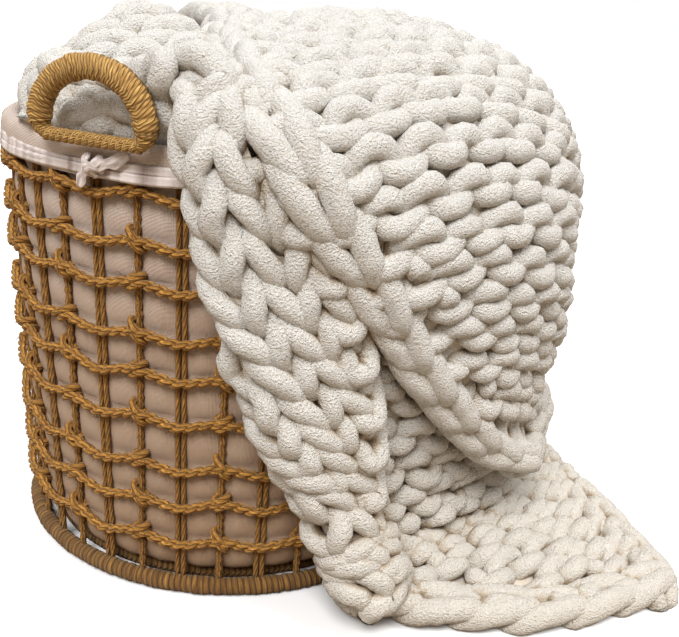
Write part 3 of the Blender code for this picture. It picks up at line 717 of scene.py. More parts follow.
def knit(layer, side, breaks=(), course_high=COURSE, loop_wide=LOOP_WIDE):
    """Courses of loops on one layer; side is +1 where the purl side faces along the normal.

    breaks are distances along the cloth where one mesh ends and the next begins. A course is laid in
    half stitches, so that it ends close to the cloth's edge."""
    piles = [Tubes() for _ in range(len(breaks) + 1)]
    stitches = 0
    for course in range(int(np.ceil(layer.p[0] / course_high)), int(layer.p[-1] / course_high) + 1):
        halves = np.arange(0, 2 * int(layer.q[-1] / WALE) + 2)
        room = layer.at(np.full(len(halves), course * course_high), (halves + .5) * WALE / 2)[2]
        on = room > LEAST_ROOM
        for group in np.split(halves, np.flatnonzero(np.diff(on.astype(int))) + 1):
            if len(group) < 3 or not on[group[0]]:
                continue
            t = np.linspace(group[0], group[-1] + 1, len(group) * POINTS_PER_STITCH // 2 + 1) / 2
            wave = 2 * np.pi * t
            aside, onward, outward = slack(t * WALE, np.full_like(t, course * course_high))
            p = course_high * (course - LOOP_HIGH * np.cos(wave) * (1 + 30 * outward)) + onward
            q = WALE * (t + loop_wide * np.sin(2 * wave)) + aside
            p += layer.inward * np.maximum(0, END_LIMIT - layer.at(p, q)[4])
            spot, lift, _, row, _ = layer.at(p, q)
            lift = lift * side
            relief = LOOP_DEEP * (1 + APRON_RELIEF * np.clip(FOOT + 1 - row, 0, 1))
            line = spot + lift * (relief * np.cos(2 * wave) + outward)[:, None]
            pile = piles[int(np.searchsorted(breaks, course * course_high))]
            pile.add(line, YARN * (1 + 14 * outward), lift, YARN_SIDES, lumps=YARN_LUMPS,
                     indoors=(row > CREST) & (row < TURN))
            stitches += len(group) // 2
    print("stitches:", stitches, "triangles:", [pile.triangles() for pile in piles])
    return piles


def travelled(layer, name, across):
    """Distance along a layer, in metres, at which a named section lies."""
    i = NAMES.index(name) * ROWS_PER_SECTION
    target = surface[i, int(across * (surface.shape[1] - 1))]
    nearest = np.linalg.norm(layer.spot - target, axis=2).argmin()
    return float(layer.p[nearest // layer.spot.shape[1]])


breaks = [travelled(lower, "wall foot", .6), travelled(lower, "rim outside", .6)]
lower_piles = knit(lower, 1.0, breaks, LOWER_COURSE, LOWER_LOOP_WIDE)
piles = dict(zip(("knit_apron", "knit_wall", "knit_inside"), lower_piles))
piles["knit_mound"], = knit(mound, -1.0)

# %% [markdown]
# ## Chain edges
# The blanket's selvedges and its cast-off ends finish in a chain: each link is one long loop of yarn
# pulled through the one before. Along the mound's front edge the chain is the boldest line of the
# blanket. A link is a long ring laid along the edge, and both its ends dive under its neighbours. A
# few more links are the loops of the heap that are tucked in between the handle and the rim.

# %% Chains along the edges
LINK_POINTS = 44


def edge_line(first, last, column, side, out=0.0):
    """Points, outward directions and visible normals of one side edge between two rows."""
    picked = np.flatnonzero((ROWS >= first) & (ROWS <= last))
    spots = surface[picked, column]
    inner = surface[picked, 2 if column == 0 else -3]
    lifts = surface_up[picked, column] * side
    ways = spots - inner
    ways -= lifts * (ways * lifts).sum(1, keepdims=True)
    ways /= np.linalg.norm(ways, axis=1, keepdims=True)
    return spots + out * ways, ways, lifts


def end_line(row, side, out=0.0):
    """The same for a cast-off end, the row at one end of the blanket."""
    i = int(np.abs(ROWS - row).argmin())
    inner = surface[i + 1 if i == 0 else i - 1]
    spots, lifts = surface[i], surface_up[i] * side
    ways = spots - inner
    ways /= np.linalg.norm(ways, axis=1, keepdims=True)
    return spots + out * ways, ways, lifts


def chain(pile, spots, ways, lifts, step=0.040, wide=0.0098, tilt=0.0060, rise=0.0065, dive=0.012, seed=0,
          indoors=False):
    """Lay links of chain along an edge; both ends of a link dive under its neighbours."""
    run = np.concatenate([[0], np.cumsum(np.linalg.norm(np.diff(spots, axis=0), axis=1))])
    theta = np.linspace(0, 2 * np.pi, LINK_POINTS, endpoint=False)
    links = max(2, int(run[-1] / step))
    for k in range(links):
        loose = [float(smooth_noise(np.array([[k * 1.7, seed * 3.1, 0.5]]), 1.0, n)[0]) for n in (6, 9, 12)]
        centre = (k + .5 + .10 * loose[1]) * run[-1] / links
        along = np.clip(centre + .84 * step * np.cos(theta), -.005, run[-1] + .005)
        legs = np.sign(np.sin(theta)) * np.abs(np.sin(theta)) ** .8
        swing = wide * (1 - .35 * np.cos(theta)) * legs * (1 + .20 * loose[0]) + .0040 * loose[2]
        at = np.clip(along, 0, run[-1])
        spot, way, lift = (np.stack([np.interp(at, run, a[:, c]) for c in range(3)], axis=1)
                           for a in (spots, ways, lifts))
        heading = np.stack([np.interp(at, run, np.gradient(spots[:, c], run)) for c in range(3)], axis=1)
        spot += heading * (along - at)[:, None]
        up_by = rise + tilt * np.cos(theta) - dive * np.abs(np.cos(theta)) ** 3 + .0020 * loose[0]
        plump = 1 + .16 * np.abs(np.sin(theta)) + .05 * loose[1]
        pile.add(spot + way * swing[:, None] + lift * up_by[:, None], YARN * plump, lift,
                 YARN_SIDES, closed=True, lumps=YARN_LUMPS, indoors=indoors)
    return links


chains = Tubes()
last_row = len(SHEET) - 1
links = chain(chains, *edge_line(TURN, last_row, 0, -1, -.004), step=.046, wide=.0116, rise=.0085, seed=1)
links += chain(chains, *edge_line(TURN, last_row, -1, -1, -.006), seed=2)
links += chain(chains, *end_line(last_row, -1, -.004), seed=3)
links += chain(chains, *edge_line(0, CREST - 1, 0, 1, -.003), seed=4)
links += chain(chains, *edge_line(0, CREST, -1, 1, -.008), step=.042, seed=5)
links += chain(chains, *edge_line(CREST, TURN, -1, 1, -.008), step=.042, seed=8, indoors=True)
links += chain(chains, *edge_line(CREST, TURN, 0, 1, .004), step=.046, wide=.0125, seed=7, indoors=True)
# first and last angle in degrees, distance from the basket's axis, first and last height, seed
TUCKS = ((-126, -96, .177, .397, .404, 9), (-152, -100, .198, .410, .413, 10),
         (-150, -104, .193, .429, .434, 11))
for first_deg, last_deg, tuck_reach, first_high, last_high, seed in TUCKS:
    tuck_angle = np.radians(np.linspace(first_deg, last_deg, 30))
    facing = np.stack([np.cos(tuck_angle), np.sin(tuck_angle), 0 * tuck_angle], axis=1)
    tuck_line = tuck_reach * facing + np.outer(np.linspace(first_high, last_high, 30), (0, 0, 1))
    links += chain(chains, tuck_line, np.broadcast_to([0, 0, 1.0], facing.shape), facing, step=.034,
                   rise=.001, wide=.0088, seed=seed)
HEM_COLUMNS = 16
apron_end = [part[HEM_COLUMNS:] for part in end_line(0, 1, -.010)]
links += chain(chains, *apron_end, step=.044, wide=.0115, seed=6)
piles["knit_chains"] = chains
print("links:", links)

# %% [markdown]
# ## How crowded the yarn is, and its painted shade
# Between two loops and inside a fold there is little light, and the pile looks warmer and darker. That
# shade is painted into the colour. The space is cut into small boxes, the yarn's points in each are
# counted, and the counts are smoothed. A vertex that looks out into full boxes is deep in the fabric
# and gets much painted shade; the value is kept as an attribute. Light comes from above, so the same
# hollow gets more painted shade low down, and all yarn near the floor gets some.

# %% Count the yarn round every vertex
CELL, LOOK_OUT = 0.004, 0.0070
NEAR_PART, FAR_PART = 0.80, 0.30
FLOOR_SHADE, FLOOR_REACH = 0.31, 0.28
SAMPLE_STEP = 7


def smoothed(counts, reach):
    """Mean over 2 * reach + 1 boxes along each axis, taken twice."""
    for axis in (0, 0, 1, 1, 2, 2):
        total = np.cumsum(np.moveaxis(counts, axis, 0), axis=0)
        total = np.concatenate([np.zeros((1, *total.shape[1:])), total])
        top = np.minimum(np.arange(len(total) - 1) + reach + 1, len(total) - 1)
        bottom = np.maximum(np.arange(len(total) - 1) - reach, 0)
        counts = np.moveaxis((total[top] - total[bottom]) / (2 * reach + 1), 0, axis)
    return counts


yarn_points = np.vstack([part for pile in piles.values() for part in pile.points])
box_low = yarn_points.min(axis=0) - 8 * CELL
box_shape = tuple(((yarn_points.max(axis=0) - box_low) / CELL).astype(int) + 9)
box_index = ((yarn_points - box_low) / CELL).astype(int)
boxes = np.bincount(np.ravel_multi_index(box_index.T, box_shape), minlength=math.prod(box_shape))
boxes = boxes.reshape(box_shape).astype(np.float32)
near_boxes, far_boxes = smoothed(boxes, 1), smoothed(boxes, 6)


def crowd_counts(points, outs):
    """Counts, near and far, in the boxes a little outward of each vertex."""
    ahead = points + LOOK_OUT * outs / np.maximum(np.linalg.norm(outs, axis=1, keepdims=True), 1e-9)
    i, j, k = np.clip(((ahead - box_low) / CELL).astype(int), 0, np.array(box_shape) - 1).T
    return near_boxes[i, j, k], far_boxes[i, j, k]


def crowding(points, outs):
    """Painted shade: 0 where a vertex looks into the open, 1 where it looks at much yarn."""
    near, far = crowd_counts(points, outs)
    close = np.clip((near - CLOSE[0]) / (CLOSE[1] - CLOSE[0]), 0, 1)
    wide = np.clip((far - WIDE[0]) / (WIDE[1] - WIDE[0]), 0, 1)
    # painted shade counts for more low down, where less light falls from above
    from_above = np.clip(1.5 - 1.9 * points[:, 2], .6, 1.45)
    # painted shade on all yarn near the floor
    shade_near_floor = FLOOR_SHADE * np.clip(1 - points[:, 2] / FLOOR_REACH, 0, 1)
    return np.clip((NEAR_PART * close + FAR_PART * wide) * from_above + shade_near_floor, 0, 1)


outs_sample = np.vstack([part for pile in piles.values() for part in pile.outs])[::SAMPLE_STEP]
near_sample, far_sample = crowd_counts(yarn_points[::SAMPLE_STEP], outs_sample)
CLOSE, WIDE = np.percentile(near_sample, (22, 72)), np.percentile(far_sample, (40, 90))
print("points in a box, open to crowded: near", CLOSE.round(2), "far", WIDE.round(2))
knit_pieces = [pile.mesh(name, yarn, settle, crowding) for name, pile in piles.items()]

# %% [markdown]
# ## The inner web
# Where the yarns cross, in the middle of the thickness, the pile of all loops mats together. A thin
# sheet on the blanket's middle surface stands for that web. It closes the view through the knit.

# %% The web
web_colour, tree, shader = new_material("blanket_web", 0.95, sheen=0.2)
place = node(tree, "ShaderNodeTexCoord").outputs["Object"]
felt = use_group(tree, fuzz, Place=place, Fibre=700.0, Lump=160.0)
# painted shade: the web is darker than the yarn, so the gaps between the loops read as shade; the mottle is
# random tone
web_gap_shade = mixed(tree, felt["Mottle"], (.60, .52, .42, 1), (.70, .62, .52, 1))
tree.links.new(web_gap_shade, shader.inputs["Base Color"])
bumped(tree, shader, felt["Height"], 0.003, 0.8)
web_grid = surface[3:-3:2, ::2]
web_rows = ROWS[3:-3:2]
web_indoors = np.repeat((web_rows > CREST) & (web_rows < TURN), web_grid.shape[1])
web_grid = settle(web_grid.reshape(-1, 3), web_indoors).reshape(web_grid.shape)
web_quads = grid_quads(*web_grid.shape[:2]).reshape(web_grid.shape[0] - 1, -1, 4)
ROLLED_END_ROWS, ROLLED_COLUMNS = 3, 8
kept = np.ones(web_quads.shape[:2], bool)
kept[:ROLLED_END_ROWS, :ROLLED_COLUMNS] = False
web = mesh_object("blanket_web", web_grid.reshape(-1, 3), web_quads[kept], web_colour)
web_thick = web.modifiers.new("thickness", "SOLIDIFY")
web_thick.thickness, web_thick.offset = 0.0016, 0

# %% [markdown]
# ## Jute
# Jute is a coarse golden fibre. As cord it is two plies twisted round each other; on the handle and
# on the base it is wound round a core. The turns of the big forms are modelled. The fine turns and
# the fibres along them come from the "strands" group through each tube's own coordinates. Cord, wire
# wrapping, grip and base differ only in the values that they give to the same two groups.

# %% Jute finishes


def jute(name, turns, pitch, dark, light, distance, chevron=0.0):
    """Jute with its strands' turns and pitch, its dark and light colours and its bump in metres."""
    material, tree, shader = new_material(name, 0.78, sheen=0.12, sheen_tint=(1, .9, .7, 1))
    uv = node(tree, "ShaderNodeTexCoord").outputs["UV"]
    place = node(tree, "ShaderNodeTexCoord").outputs["Object"]
    turned = use_group(tree, strands, UV=uv, Turns=turns, Pitch=pitch, Chevron=chevron)
    rough = use_group(tree, fuzz, Place=place, Fibre=1400.0, Lump=500.0)
    height = maths(tree, "ADD", turned["Height"], maths(tree, "MULTIPLY", turned["Fibre"], 0.5))
    height = maths(tree, "ADD", height, maths(tree, "MULTIPLY", rough["Height"], 0.25))
    middle = tuple(.55 * np.array(dark) + .45 * np.array(light))
    colour = ramp(tree, turned["Fibre"], (0.32, dark), (0.5, middle), (0.66, light))
    colour = mixed(tree, maths(tree, "MULTIPLY", turned["Tone"], 0.40), colour, (*(np.array(dark) * 1.1), 1))
    # painted shade in the grooves between the turns
    groove_shade = maths(tree, "SUBTRACT", 0.80, turned["Height"], clamp=True)
    groove_shade = maths(tree, "MULTIPLY", groove_shade, 1.3, clamp=True)
    colour = mixed(tree, groove_shade, colour, (*(np.array(dark) * .45), 1))
    # painted shade in hollows and seams, from the vertex's painted shade value
    hollow_shade = node(tree, "ShaderNodeAttribute", {"attribute_name": "deep"}).outputs["Fac"]
    colour = mixed(tree, maths(tree, "MULTIPLY", hollow_shade, 0.7), colour, (*(np.array(dark) * .4), 1))
    tree.links.new(colour, shader.inputs["Base Color"])
    bumped(tree, shader, height, distance, 0.9)
    return material


jute_ply = jute("jute_ply", 5.0, 0.0110, (.15, .056, .008), (.74, .37, .070), 0.0012)
jute_wrap = jute("jute_wrap", 5.0, 0.0100, (.13, .050, .007), (.58, .28, .052), 0.0011)
jute_grip = jute("jute_grip", 0.0, 0.0024, (.26, .115, .024), (.90, .56, .17), 0.0014, 2.6)
jute_coil = jute("jute_coil", 1.0, 0.0050, (.10, .040, .008), (.40, .20, .050), 0.0020)
print("materials:", jute_ply.name, jute_wrap.name, jute_grip.name, jute_coil.name)

# %% [markdown]
# ## The basket's cage
# Thirty-six wires stand round the base, every other one a pair. Nine cords run round them. Each is
# knotted at the single wires and hangs a little slack in front of the pairs. Two plies wound in
# opposite places along one path give a twisted cord without any texture.

# %% Rings of twisted cord
WIRES, FIRST_DEG, WIRE_STEP, KNOT_STEP = 36, -112.8, 10.0, 20.0
RING_HEIGHTS = (.360, .321, .287, .245, .211, .171, .128, .093, .056)
RING_OUT, RING_SAG = 0.0094, 0.0064
PLY, PLY_OFF, PLY_PITCH = 0.0029, 0.0019, 0.0220
BOW, BOW_DEG = 0.0048, 195


def wall(height):
    """The liner's outer radius at a height; the basket widens a little upwards."""
    return LINER_OUT + FLARE * height / LINER_TOP


def bow(degrees, height):
    """The side without the blanket's weight bows out a little below the cuff."""
    off = (np.asarray(degrees, float) - BOW_DEG + 180) % 360 - 180
    rise = np.clip(height / .30, 0, 1) * np.clip((.378 - height) / .012, 0, 1)
    return BOW * bell(off / 75) * rise


def twisted(pile, line, lift, closed=False, ply=PLY, off=PLY_OFF, pitch=PLY_PITCH, sides=6):
    """Two plies twisted round a line."""
    line = np.asarray(line, float)
    run = np.concatenate([[0], np.cumsum(np.linalg.norm(np.diff(line, axis=0), axis=1))])
    whole = run[-1] + (np.linalg.norm(line[0] - line[-1]) if closed else 0)
    turns = round(whole / pitch) if closed else whole / pitch
    along = tangents(line, closed)
    side = np.cross(along, lift)
    side /= np.linalg.norm(side, axis=1, keepdims=True)
    top = np.cross(side, along)
    for start in (0, np.pi):
        angle = 2 * np.pi * turns * run / whole + start
        strand = line + off * (side * np.cos(angle)[:, None] + top * np.sin(angle)[:, None])
        pile.add(strand, ply, top, sides, closed=closed, lumps=.0003)


def on_wall(degrees, height, out):
    """Points at an angle and a height, this far outside the liner."""
    angle = np.radians(degrees)
    reach = wall(height) + out + bow(degrees, height)
    return np.stack([reach * np.cos(angle), reach * np.sin(angle), height + 0 * angle], axis=-1)


def outwards(line):
    """Level directions away from the basket's axis."""
    way = line * [1, 1, 0]
    return way / np.linalg.norm(way, axis=1, keepdims=True)


def ring_height(number, degrees):
    """Height of a ring cord's middle line, with its sag and its small unevenness."""
    span = (degrees - FIRST_DEG) / KNOT_STEP
    uneven = smooth_noise(np.stack([np.cos(np.radians(degrees)) * 3, np.sin(np.radians(degrees)) * 3,
                                    0 * degrees + number], axis=-1), 0.8, 7)
    sag = RING_SAG * (1 + .6 * uneven) * np.sin(np.pi * span) ** 2
    return RING_HEIGHTS[number] - sag + .0030 * uneven


rings = Tubes()
for number in range(len(RING_HEIGHTS)):
    degrees = np.linspace(0, 360, 400, endpoint=False) + FIRST_DEG
    heights = ring_height(number, degrees)
    line = on_wall(degrees, heights, RING_OUT)
    twisted(rings, line, outwards(line), closed=True)
ring_cords = rings.mesh("ring_cords", jute_ply)
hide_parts(*[f"ring_cord_{k}" for k in range(1, len(RING_HEIGHTS) + 1)])

# %% [markdown]
# ## Wires, knots and stray fibres
# The uprights are wires wrapped in jute. A single one is a twisted pair of plies and carries the
# knots; the others are two thin wires side by side. An overhand knot round a wire looks from outside
# like two turns of thick cord that lean to one side, and a short helix gives just that. Knots lean
# left and right by turns. Jute sheds, so short fibres stand away from the rings and the knots.

# %% Wires and knots
WIRE_OUT, WIRE_LOW, WIRE_HIGH = 0.0030, 0.0150, 0.3800
PAIR_APART, KNOT_HALF, KNOT_LEAN = 0.0027, 0.0062, 0.0040
wires, knots = Tubes(), Tubes()
for k in range(WIRES):
    degrees = FIRST_DEG + WIRE_STEP * k
    heights = np.linspace(WIRE_LOW, WIRE_HIGH, 70)
    sway = .0009 * smooth_noise(np.stack([heights * 6, 0 * heights + k, 0 * heights], axis=-1), 0.5, 8)
    middle = on_wall(degrees + 0 * heights, heights, WIRE_OUT)
    way = outwards(middle)
    sideways = np.cross(way, (0, 0, 1))
    if k % 2:
        for apart in (-PAIR_APART, PAIR_APART):
            wires.add(middle + sideways * (apart + sway)[:, None], .0023, way, 6, lumps=.0002)
    else:
        twisted(wires, middle + sideways * sway[:, None], way, ply=.0022, off=.0016, pitch=.018)
        for number in range(len(RING_HEIGHTS)):
            knot_high = float(ring_height(number, np.array([degrees]))[0])
            centre = on_wall(np.array([degrees]), np.array([knot_high]), WIRE_OUT + .0022)[0]
            turn = np.linspace(-np.pi, 3 * np.pi, 30)
            rise = np.linspace(-KNOT_HALF, KNOT_HALF, len(turn))
            lean = KNOT_LEAN if (k // 2 + number) % 2 else -KNOT_LEAN
            helix = (centre + np.outer(np.cos(turn), way[0]) * .0052
                     + np.outer(np.sin(turn), sideways[0]) * .0058
                     + np.outer(rise + lean * np.sin(turn), (0, 0, 1)))
            knots.add(helix, .0033, np.array([0, 0, 1.0]), 6, lumps=.0006)
print("knots:", WIRES // 2 * len(RING_HEIGHTS))

# %% Stray fibres
FIBRES, FIBRE_RADII = 2600, np.array([.00030, .00024, .00010])
loose_ends = np.random.default_rng(5)
for _ in range(FIBRES):
    number = loose_ends.integers(len(RING_HEIGHTS))
    at_knot = loose_ends.random() < .55
    if at_knot:
        degrees = FIRST_DEG + (KNOT_STEP * loose_ends.integers(18) + loose_ends.normal(0, 1.4))
    else:
        degrees = FIRST_DEG + loose_ends.uniform(0, 360)
    root_high = float(ring_height(number, np.array([degrees]))[0]) + loose_ends.normal(0, .003)
    root = on_wall(np.array([degrees]), np.array([root_high]), RING_OUT + (.001 if at_knot else 0))[0]
    outside = unit(root * [1, 1, 0])
    lean_way = unit(loose_ends.normal(0, 1, 3) + .9 * outside)
    reach_out = loose_ends.uniform(.004, .0085)
    droop = np.array([0, 0, -1.0]) * reach_out * loose_ends.uniform(0, .4)
    hair_line = np.array([root, root + .55 * reach_out * lean_way, root + reach_out * lean_way + droop])
    knots.add(hair_line, FIBRE_RADII, np.cross(lean_way, (.3, .5, .8)), 3)

# %% The cage's pieces
uprights = wires.mesh("uprights", jute_wrap)
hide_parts(*[f"upright_{k:02d}" for k in range(1, WIRES + 1)])
cord_knots = knots.mesh("cord_knots", jute_ply)

# %% [markdown]
# ## Base
# The floor of the basket is a coil of cord, and its outer turn is wrapped. Cord wound tightly round a
# core is a row of rounded turns side by side, which the tube's radius gives by swelling and shrinking
# along its length. The seams between the turns also get painted shade, so they come out darker.

# %% Base
BASE_R, BASE_CORE = 0.2040, 0.0079


def wound(pile, line, radius, lift, turn_long, depth=.09, sides=12, closed=False):
    """A core with cord wound round it."""
    run = np.concatenate([[0], np.cumsum(np.linalg.norm(np.diff(line, axis=0), axis=1))])
    uneven = smooth_noise(np.stack([run / turn_long, 0 * run, 0 * run], axis=-1), 1.4, 13)
    swell = 1 - depth + depth * np.abs(np.sin(np.pi * run / turn_long + .8 * uneven)) ** .5
    # painted shade in the seams between the turns
    shade = 1 - (swell - 1 + depth) / depth
    pile.add(line, radius * (swell + .05 * uneven), lift, sides, closed=closed, deep=.8 * shade, lumps=.0004)


def even_line(points, step, closed=False):
    """The same line with its points an equal step apart."""
    points = np.asarray(points, float)
    if closed:
        points = np.vstack([points, points[:1]])
    run = np.concatenate([[0], np.cumsum(np.linalg.norm(np.diff(points, axis=0), axis=1))])
    at = np.linspace(0, run[-1], max(4, int(run[-1] / step)), endpoint=not closed)
    return np.stack([np.interp(at, run, points[:, k]) for k in range(3)], axis=1)


coil = Tubes()
angle = np.radians(np.arange(0, 360, 2.0))
edge = np.stack([BASE_R * np.cos(angle), BASE_R * np.sin(angle), 0 * angle + .0081], axis=1)
edge = even_line(edge, .0015, True)
wound(coil, edge, BASE_CORE, outwards(edge), .0090, closed=True)
INNER_TURNS, INNER_CORD = 12, 0.0076
sweep = np.radians(np.arange(0, 360 * INNER_TURNS, 6.0))
spiral_out = np.linspace(BASE_R - .0155, .004, len(sweep))
spiral = np.stack([spiral_out * np.cos(sweep), spiral_out * np.sin(sweep), 0 * sweep + .0080], axis=1)
coil.add(spiral, INNER_CORD, np.array([0, 0, 1.0]), 8)


def above_floor(points, indoors):
    """The base's cord is pressed flat where it stands on the floor."""
    return np.maximum(points, [-9, -9, 0.0002])


base = coil.mesh("base_coil", jute_coil, above_floor)
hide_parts("basket_base")

# %% [markdown]
# ## Handle
# The carrying handle is a bent wire, D-shaped, with its flat side down on the rim. Its arch is
# thickly wound with jute that crosses in chevrons, and its flat side is a thinner twisted cord. One
# closed line gives the whole outline, and a radius that changes along it gives the two thicknesses.

# %% Handle
HANDLE_DEG, HANDLE_R, HANDLE_HALF, HANDLE_FOOT = -119.0, 0.2325, 0.048, 0.397
HANDLE_CORNER, HANDLE_ARCH, GRIP, BAR = 0.011, 0.0415, 0.0100, 0.0034
handle_angle = math.radians(HANDLE_DEG)
handle_out = np.array([math.cos(handle_angle), math.sin(handle_angle), 0])
handle_side = np.array([-math.sin(handle_angle), math.cos(handle_angle), 0])
arch = np.radians(np.arange(0, 181, 6))
outline = [(HANDLE_HALF * math.cos(a), HANDLE_CORNER + HANDLE_ARCH * math.sin(a), GRIP) for a in arch]
corner = [(HANDLE_HALF - HANDLE_CORNER * (1 - math.cos(a)), HANDLE_CORNER * (1 - math.sin(a)),
           GRIP + (BAR - GRIP) * a / (np.pi / 2)) for a in np.radians([15, 30, 45, 60, 75, 90])]
outline += [(-x, z, r) for x, z, r in corner]
straight = np.linspace(HANDLE_CORNER - HANDLE_HALF, HANDLE_HALF - HANDLE_CORNER, 12)[1:-1]
outline += [(x, 0, BAR) for x in straight]
outline += corner[::-1]
outline = np.array(outline)
route = HANDLE_R * handle_out + outline[:, :1] * handle_side
route = route + (HANDLE_FOOT + outline[:, 1:2]) * [0, 0, 1]
handle_line = even_line(route, .00075, True)
nearest = np.linalg.norm(handle_line[:, None] - route[None], axis=2).argsort(axis=1)[:, :2]
thick = outline[nearest, 2].mean(axis=1)
grip = Tubes()
handle_lift = np.broadcast_to(handle_out, handle_line.shape)
wound(grip, handle_line, thick, handle_lift, .0050, depth=.12, sides=16, closed=True)
bar_end = HANDLE_HALF - HANDLE_CORNER * .5
bar_places = np.linspace(-bar_end, bar_end, 90)[:, None]
bar_line = HANDLE_R * handle_out + bar_places * handle_side + [0, 0, HANDLE_FOOT]
bar_lift = np.broadcast_to(handle_out, bar_line.shape)
twisted(grip, bar_line, bar_lift, ply=.0033, off=.0024, pitch=.0120, sides=8)
handle = grip.mesh("handle_wrap", jute_grip)
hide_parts("carry_handle")

# %% [markdown]
# ## The liner
# The liner is a plain-woven cotton bag. It is softer than the cage, so it swells a little through
# every opening between the cords. Its top is turned over the hoop as a cuff, which a ribbon gathers
# into small puckers. A scattered little star is a common ornament on such cloth. Lower down the cloth
# lies in the cage's shade, and one ramp over the height paints that shade into its colour.

# %% Cotton finish
THREAD, MOTIF_STEP, MOTIF_REACH = 0.0011, 0.034, 0.17
cotton, tree, shader = new_material("liner_cotton", 0.88, sheen=0.15)
uv = node(tree, "ShaderNodeTexCoord").outputs["UV"]
place = node(tree, "ShaderNodeTexCoord").outputs["Object"]
parts = node(tree, "ShaderNodeSeparateXYZ", {}, Vector=uv)
warp = maths(tree, "SINE", maths(tree, "MULTIPLY", parts.outputs["X"], 2 * math.pi / THREAD))
weft = maths(tree, "SINE", maths(tree, "MULTIPLY", parts.outputs["Y"], 2 * math.pi / THREAD))
weave = maths(tree, "ADD", maths(tree, "MULTIPLY", warp, 0.5), maths(tree, "MULTIPLY", weft, 0.5))
across = maths(tree, "DIVIDE", parts.outputs["X"], MOTIF_STEP)
line_no = maths(tree, "FLOOR", across)
along = maths(tree, "ADD", maths(tree, "DIVIDE", parts.outputs["Y"], MOTIF_STEP * 1.1),
              maths(tree, "MULTIPLY", line_no, 0.5))
cell_x = maths(tree, "SUBTRACT", maths(tree, "FRACT", across), 0.5)
cell_y = maths(tree, "SUBTRACT", maths(tree, "FRACT", along), 0.5)
squares = maths(tree, "ADD", maths(tree, "POWER", cell_x, 2.0), maths(tree, "POWER", cell_y, 2.0))
from_centre = maths(tree, "SQRT", squares)
turned_by = maths(tree, "MULTIPLY", maths(tree, "ARCTAN2", cell_y, cell_x), 3.0)
arm = maths(tree, "MULTIPLY", maths(tree, "ABSOLUTE", maths(tree, "SINE", turned_by)), from_centre)
star = maths(tree, "MULTIPLY", maths(tree, "LESS_THAN", arm, 0.045),
             maths(tree, "LESS_THAN", from_centre, MOTIF_REACH))
faded = node(tree, "ShaderNodeTexNoise", {}, Vector=place, Scale=9.0, Detail=3.0).outputs["Fac"]
colour = ramp(tree, faded, (0.3, (.76, .60, .50)), (0.7, (.90, .76, .67)))
thread = maths(tree, "MULTIPLY", maths(tree, "ADD", weave, 1.0), 0.13)
colour = mixed(tree, thread, colour, (.44, .32, .26, 1))
colour = mixed(tree, maths(tree, "MULTIPLY", star, 0.55), colour, (.80, .72, .66, 1))
# painted shade: the colour darkens towards the bottom, where the cage shades the cloth
standing = node(tree, "ShaderNodeSeparateXYZ", {}, Vector=place).outputs["Z"]
low_shade = ramp(tree, maths(tree, "DIVIDE", standing, HOOP_Z),
              (0.05, (.66, .52, .37)), (0.60, (.82, .73, .62)), (0.92, (1.0, 1.0, 1.0)))
tree.links.new(mixed(tree, 1.0, colour, low_shade, "MULTIPLY"), shader.inputs["Base Color"])
slub = node(tree, "ShaderNodeTexNoise", {}, Vector=place, Scale=60.0, Detail=2.0).outputs["Fac"]
bumped(tree, shader, maths(tree, "ADD", weave, maths(tree, "MULTIPLY", slub, 2.0)), 0.0008, 0.8)
print("material:", cotton.name)

# %% [markdown]
# ## Turning the liner
# A profile is read from the middle of the floor, up the wall and over the hoop to the cuff's hem, and
# turned round the axis. Each ring of points then gets what its zone asks for: swelling between the
# cords on the wall, and small gathers with a pinch under the ribbon on the cuff.

# %% The liner's cloth
STEPS_ROUND, WALL_ZONE, CUFF_ZONE = 288, 1, 2
CUFF_FOLD, CUFF_LOW, LINER_LOW = 0.0072, 0.3665, 0.0168
liner_angle = np.linspace(0, 2 * np.pi, STEPS_ROUND, endpoint=False)


def swell_between(degrees, height):
    """0 behind a cord or wire, 1 in the middle of an opening."""
    span = (degrees - FIRST_DEG) / WIRE_STEP
    between_wires = np.abs(np.sin(np.pi * span)) ** .7
    limits = sorted([.375, *(h - .003 for h in RING_HEIGHTS), .016])
    gap = np.interp(height, limits, np.arange(len(limits)))
    return between_wires * np.abs(np.sin(np.pi * gap)) ** .7


# distance from the axis, height and zone of each ring of points
profile = [(r, LINER_LOW, 0) for r in (.004, .05, .10, .15, .185)]
for z in np.linspace(.020, .376, 90):
    tuck = .007 * np.clip((.050 - z) / .032, 0, 1) ** 2
    profile.append((wall(z) - .0014 - tuck, z, WALL_ZONE if z < .37 else 0))
profile += [(HOOP_R + CUFF_FOLD * math.cos(a), HOOP_Z + CUFF_FOLD * math.sin(a), CUFF_ZONE)
            for a in np.radians([165, 140, 115, 90, 65, 40, 15])]
cuff_heights = (.386, .3825, .379, .3765, .374, .3715, .369, CUFF_LOW)
profile += [(HOOP_R + CUFF_FOLD + .0006, z, CUFF_ZONE) for z in cuff_heights]
shell = []
around = np.stack([np.cos(liner_angle), np.sin(liner_angle)], axis=1)
liner_degrees = np.degrees(liner_angle)
for ring_r, ring_z, zone in profile:
    up_here = 0 * liner_angle + ring_z * 40
    ripple = smooth_noise(np.stack([30 * around[:, 0], 30 * around[:, 1], up_here], axis=-1), 1.0, 9)
    if zone == WALL_ZONE:
        radius = ring_r + bow(liner_degrees, ring_z) + .0062 * swell_between(liner_degrees, ring_z)
        radius = radius + .0008 * ripple
    elif zone == CUFF_ZONE:
        pinch = .0016 * np.exp(-((ring_z - TIE_Z) / .004) ** 2)
        radius = ring_r + .0011 * ripple - pinch
    else:
        radius = ring_r + 0 * liner_angle
    shell.append(np.stack([radius * around[:, 0], radius * around[:, 1], ring_z + 0 * liner_angle], axis=1))
shell = np.array(shell)
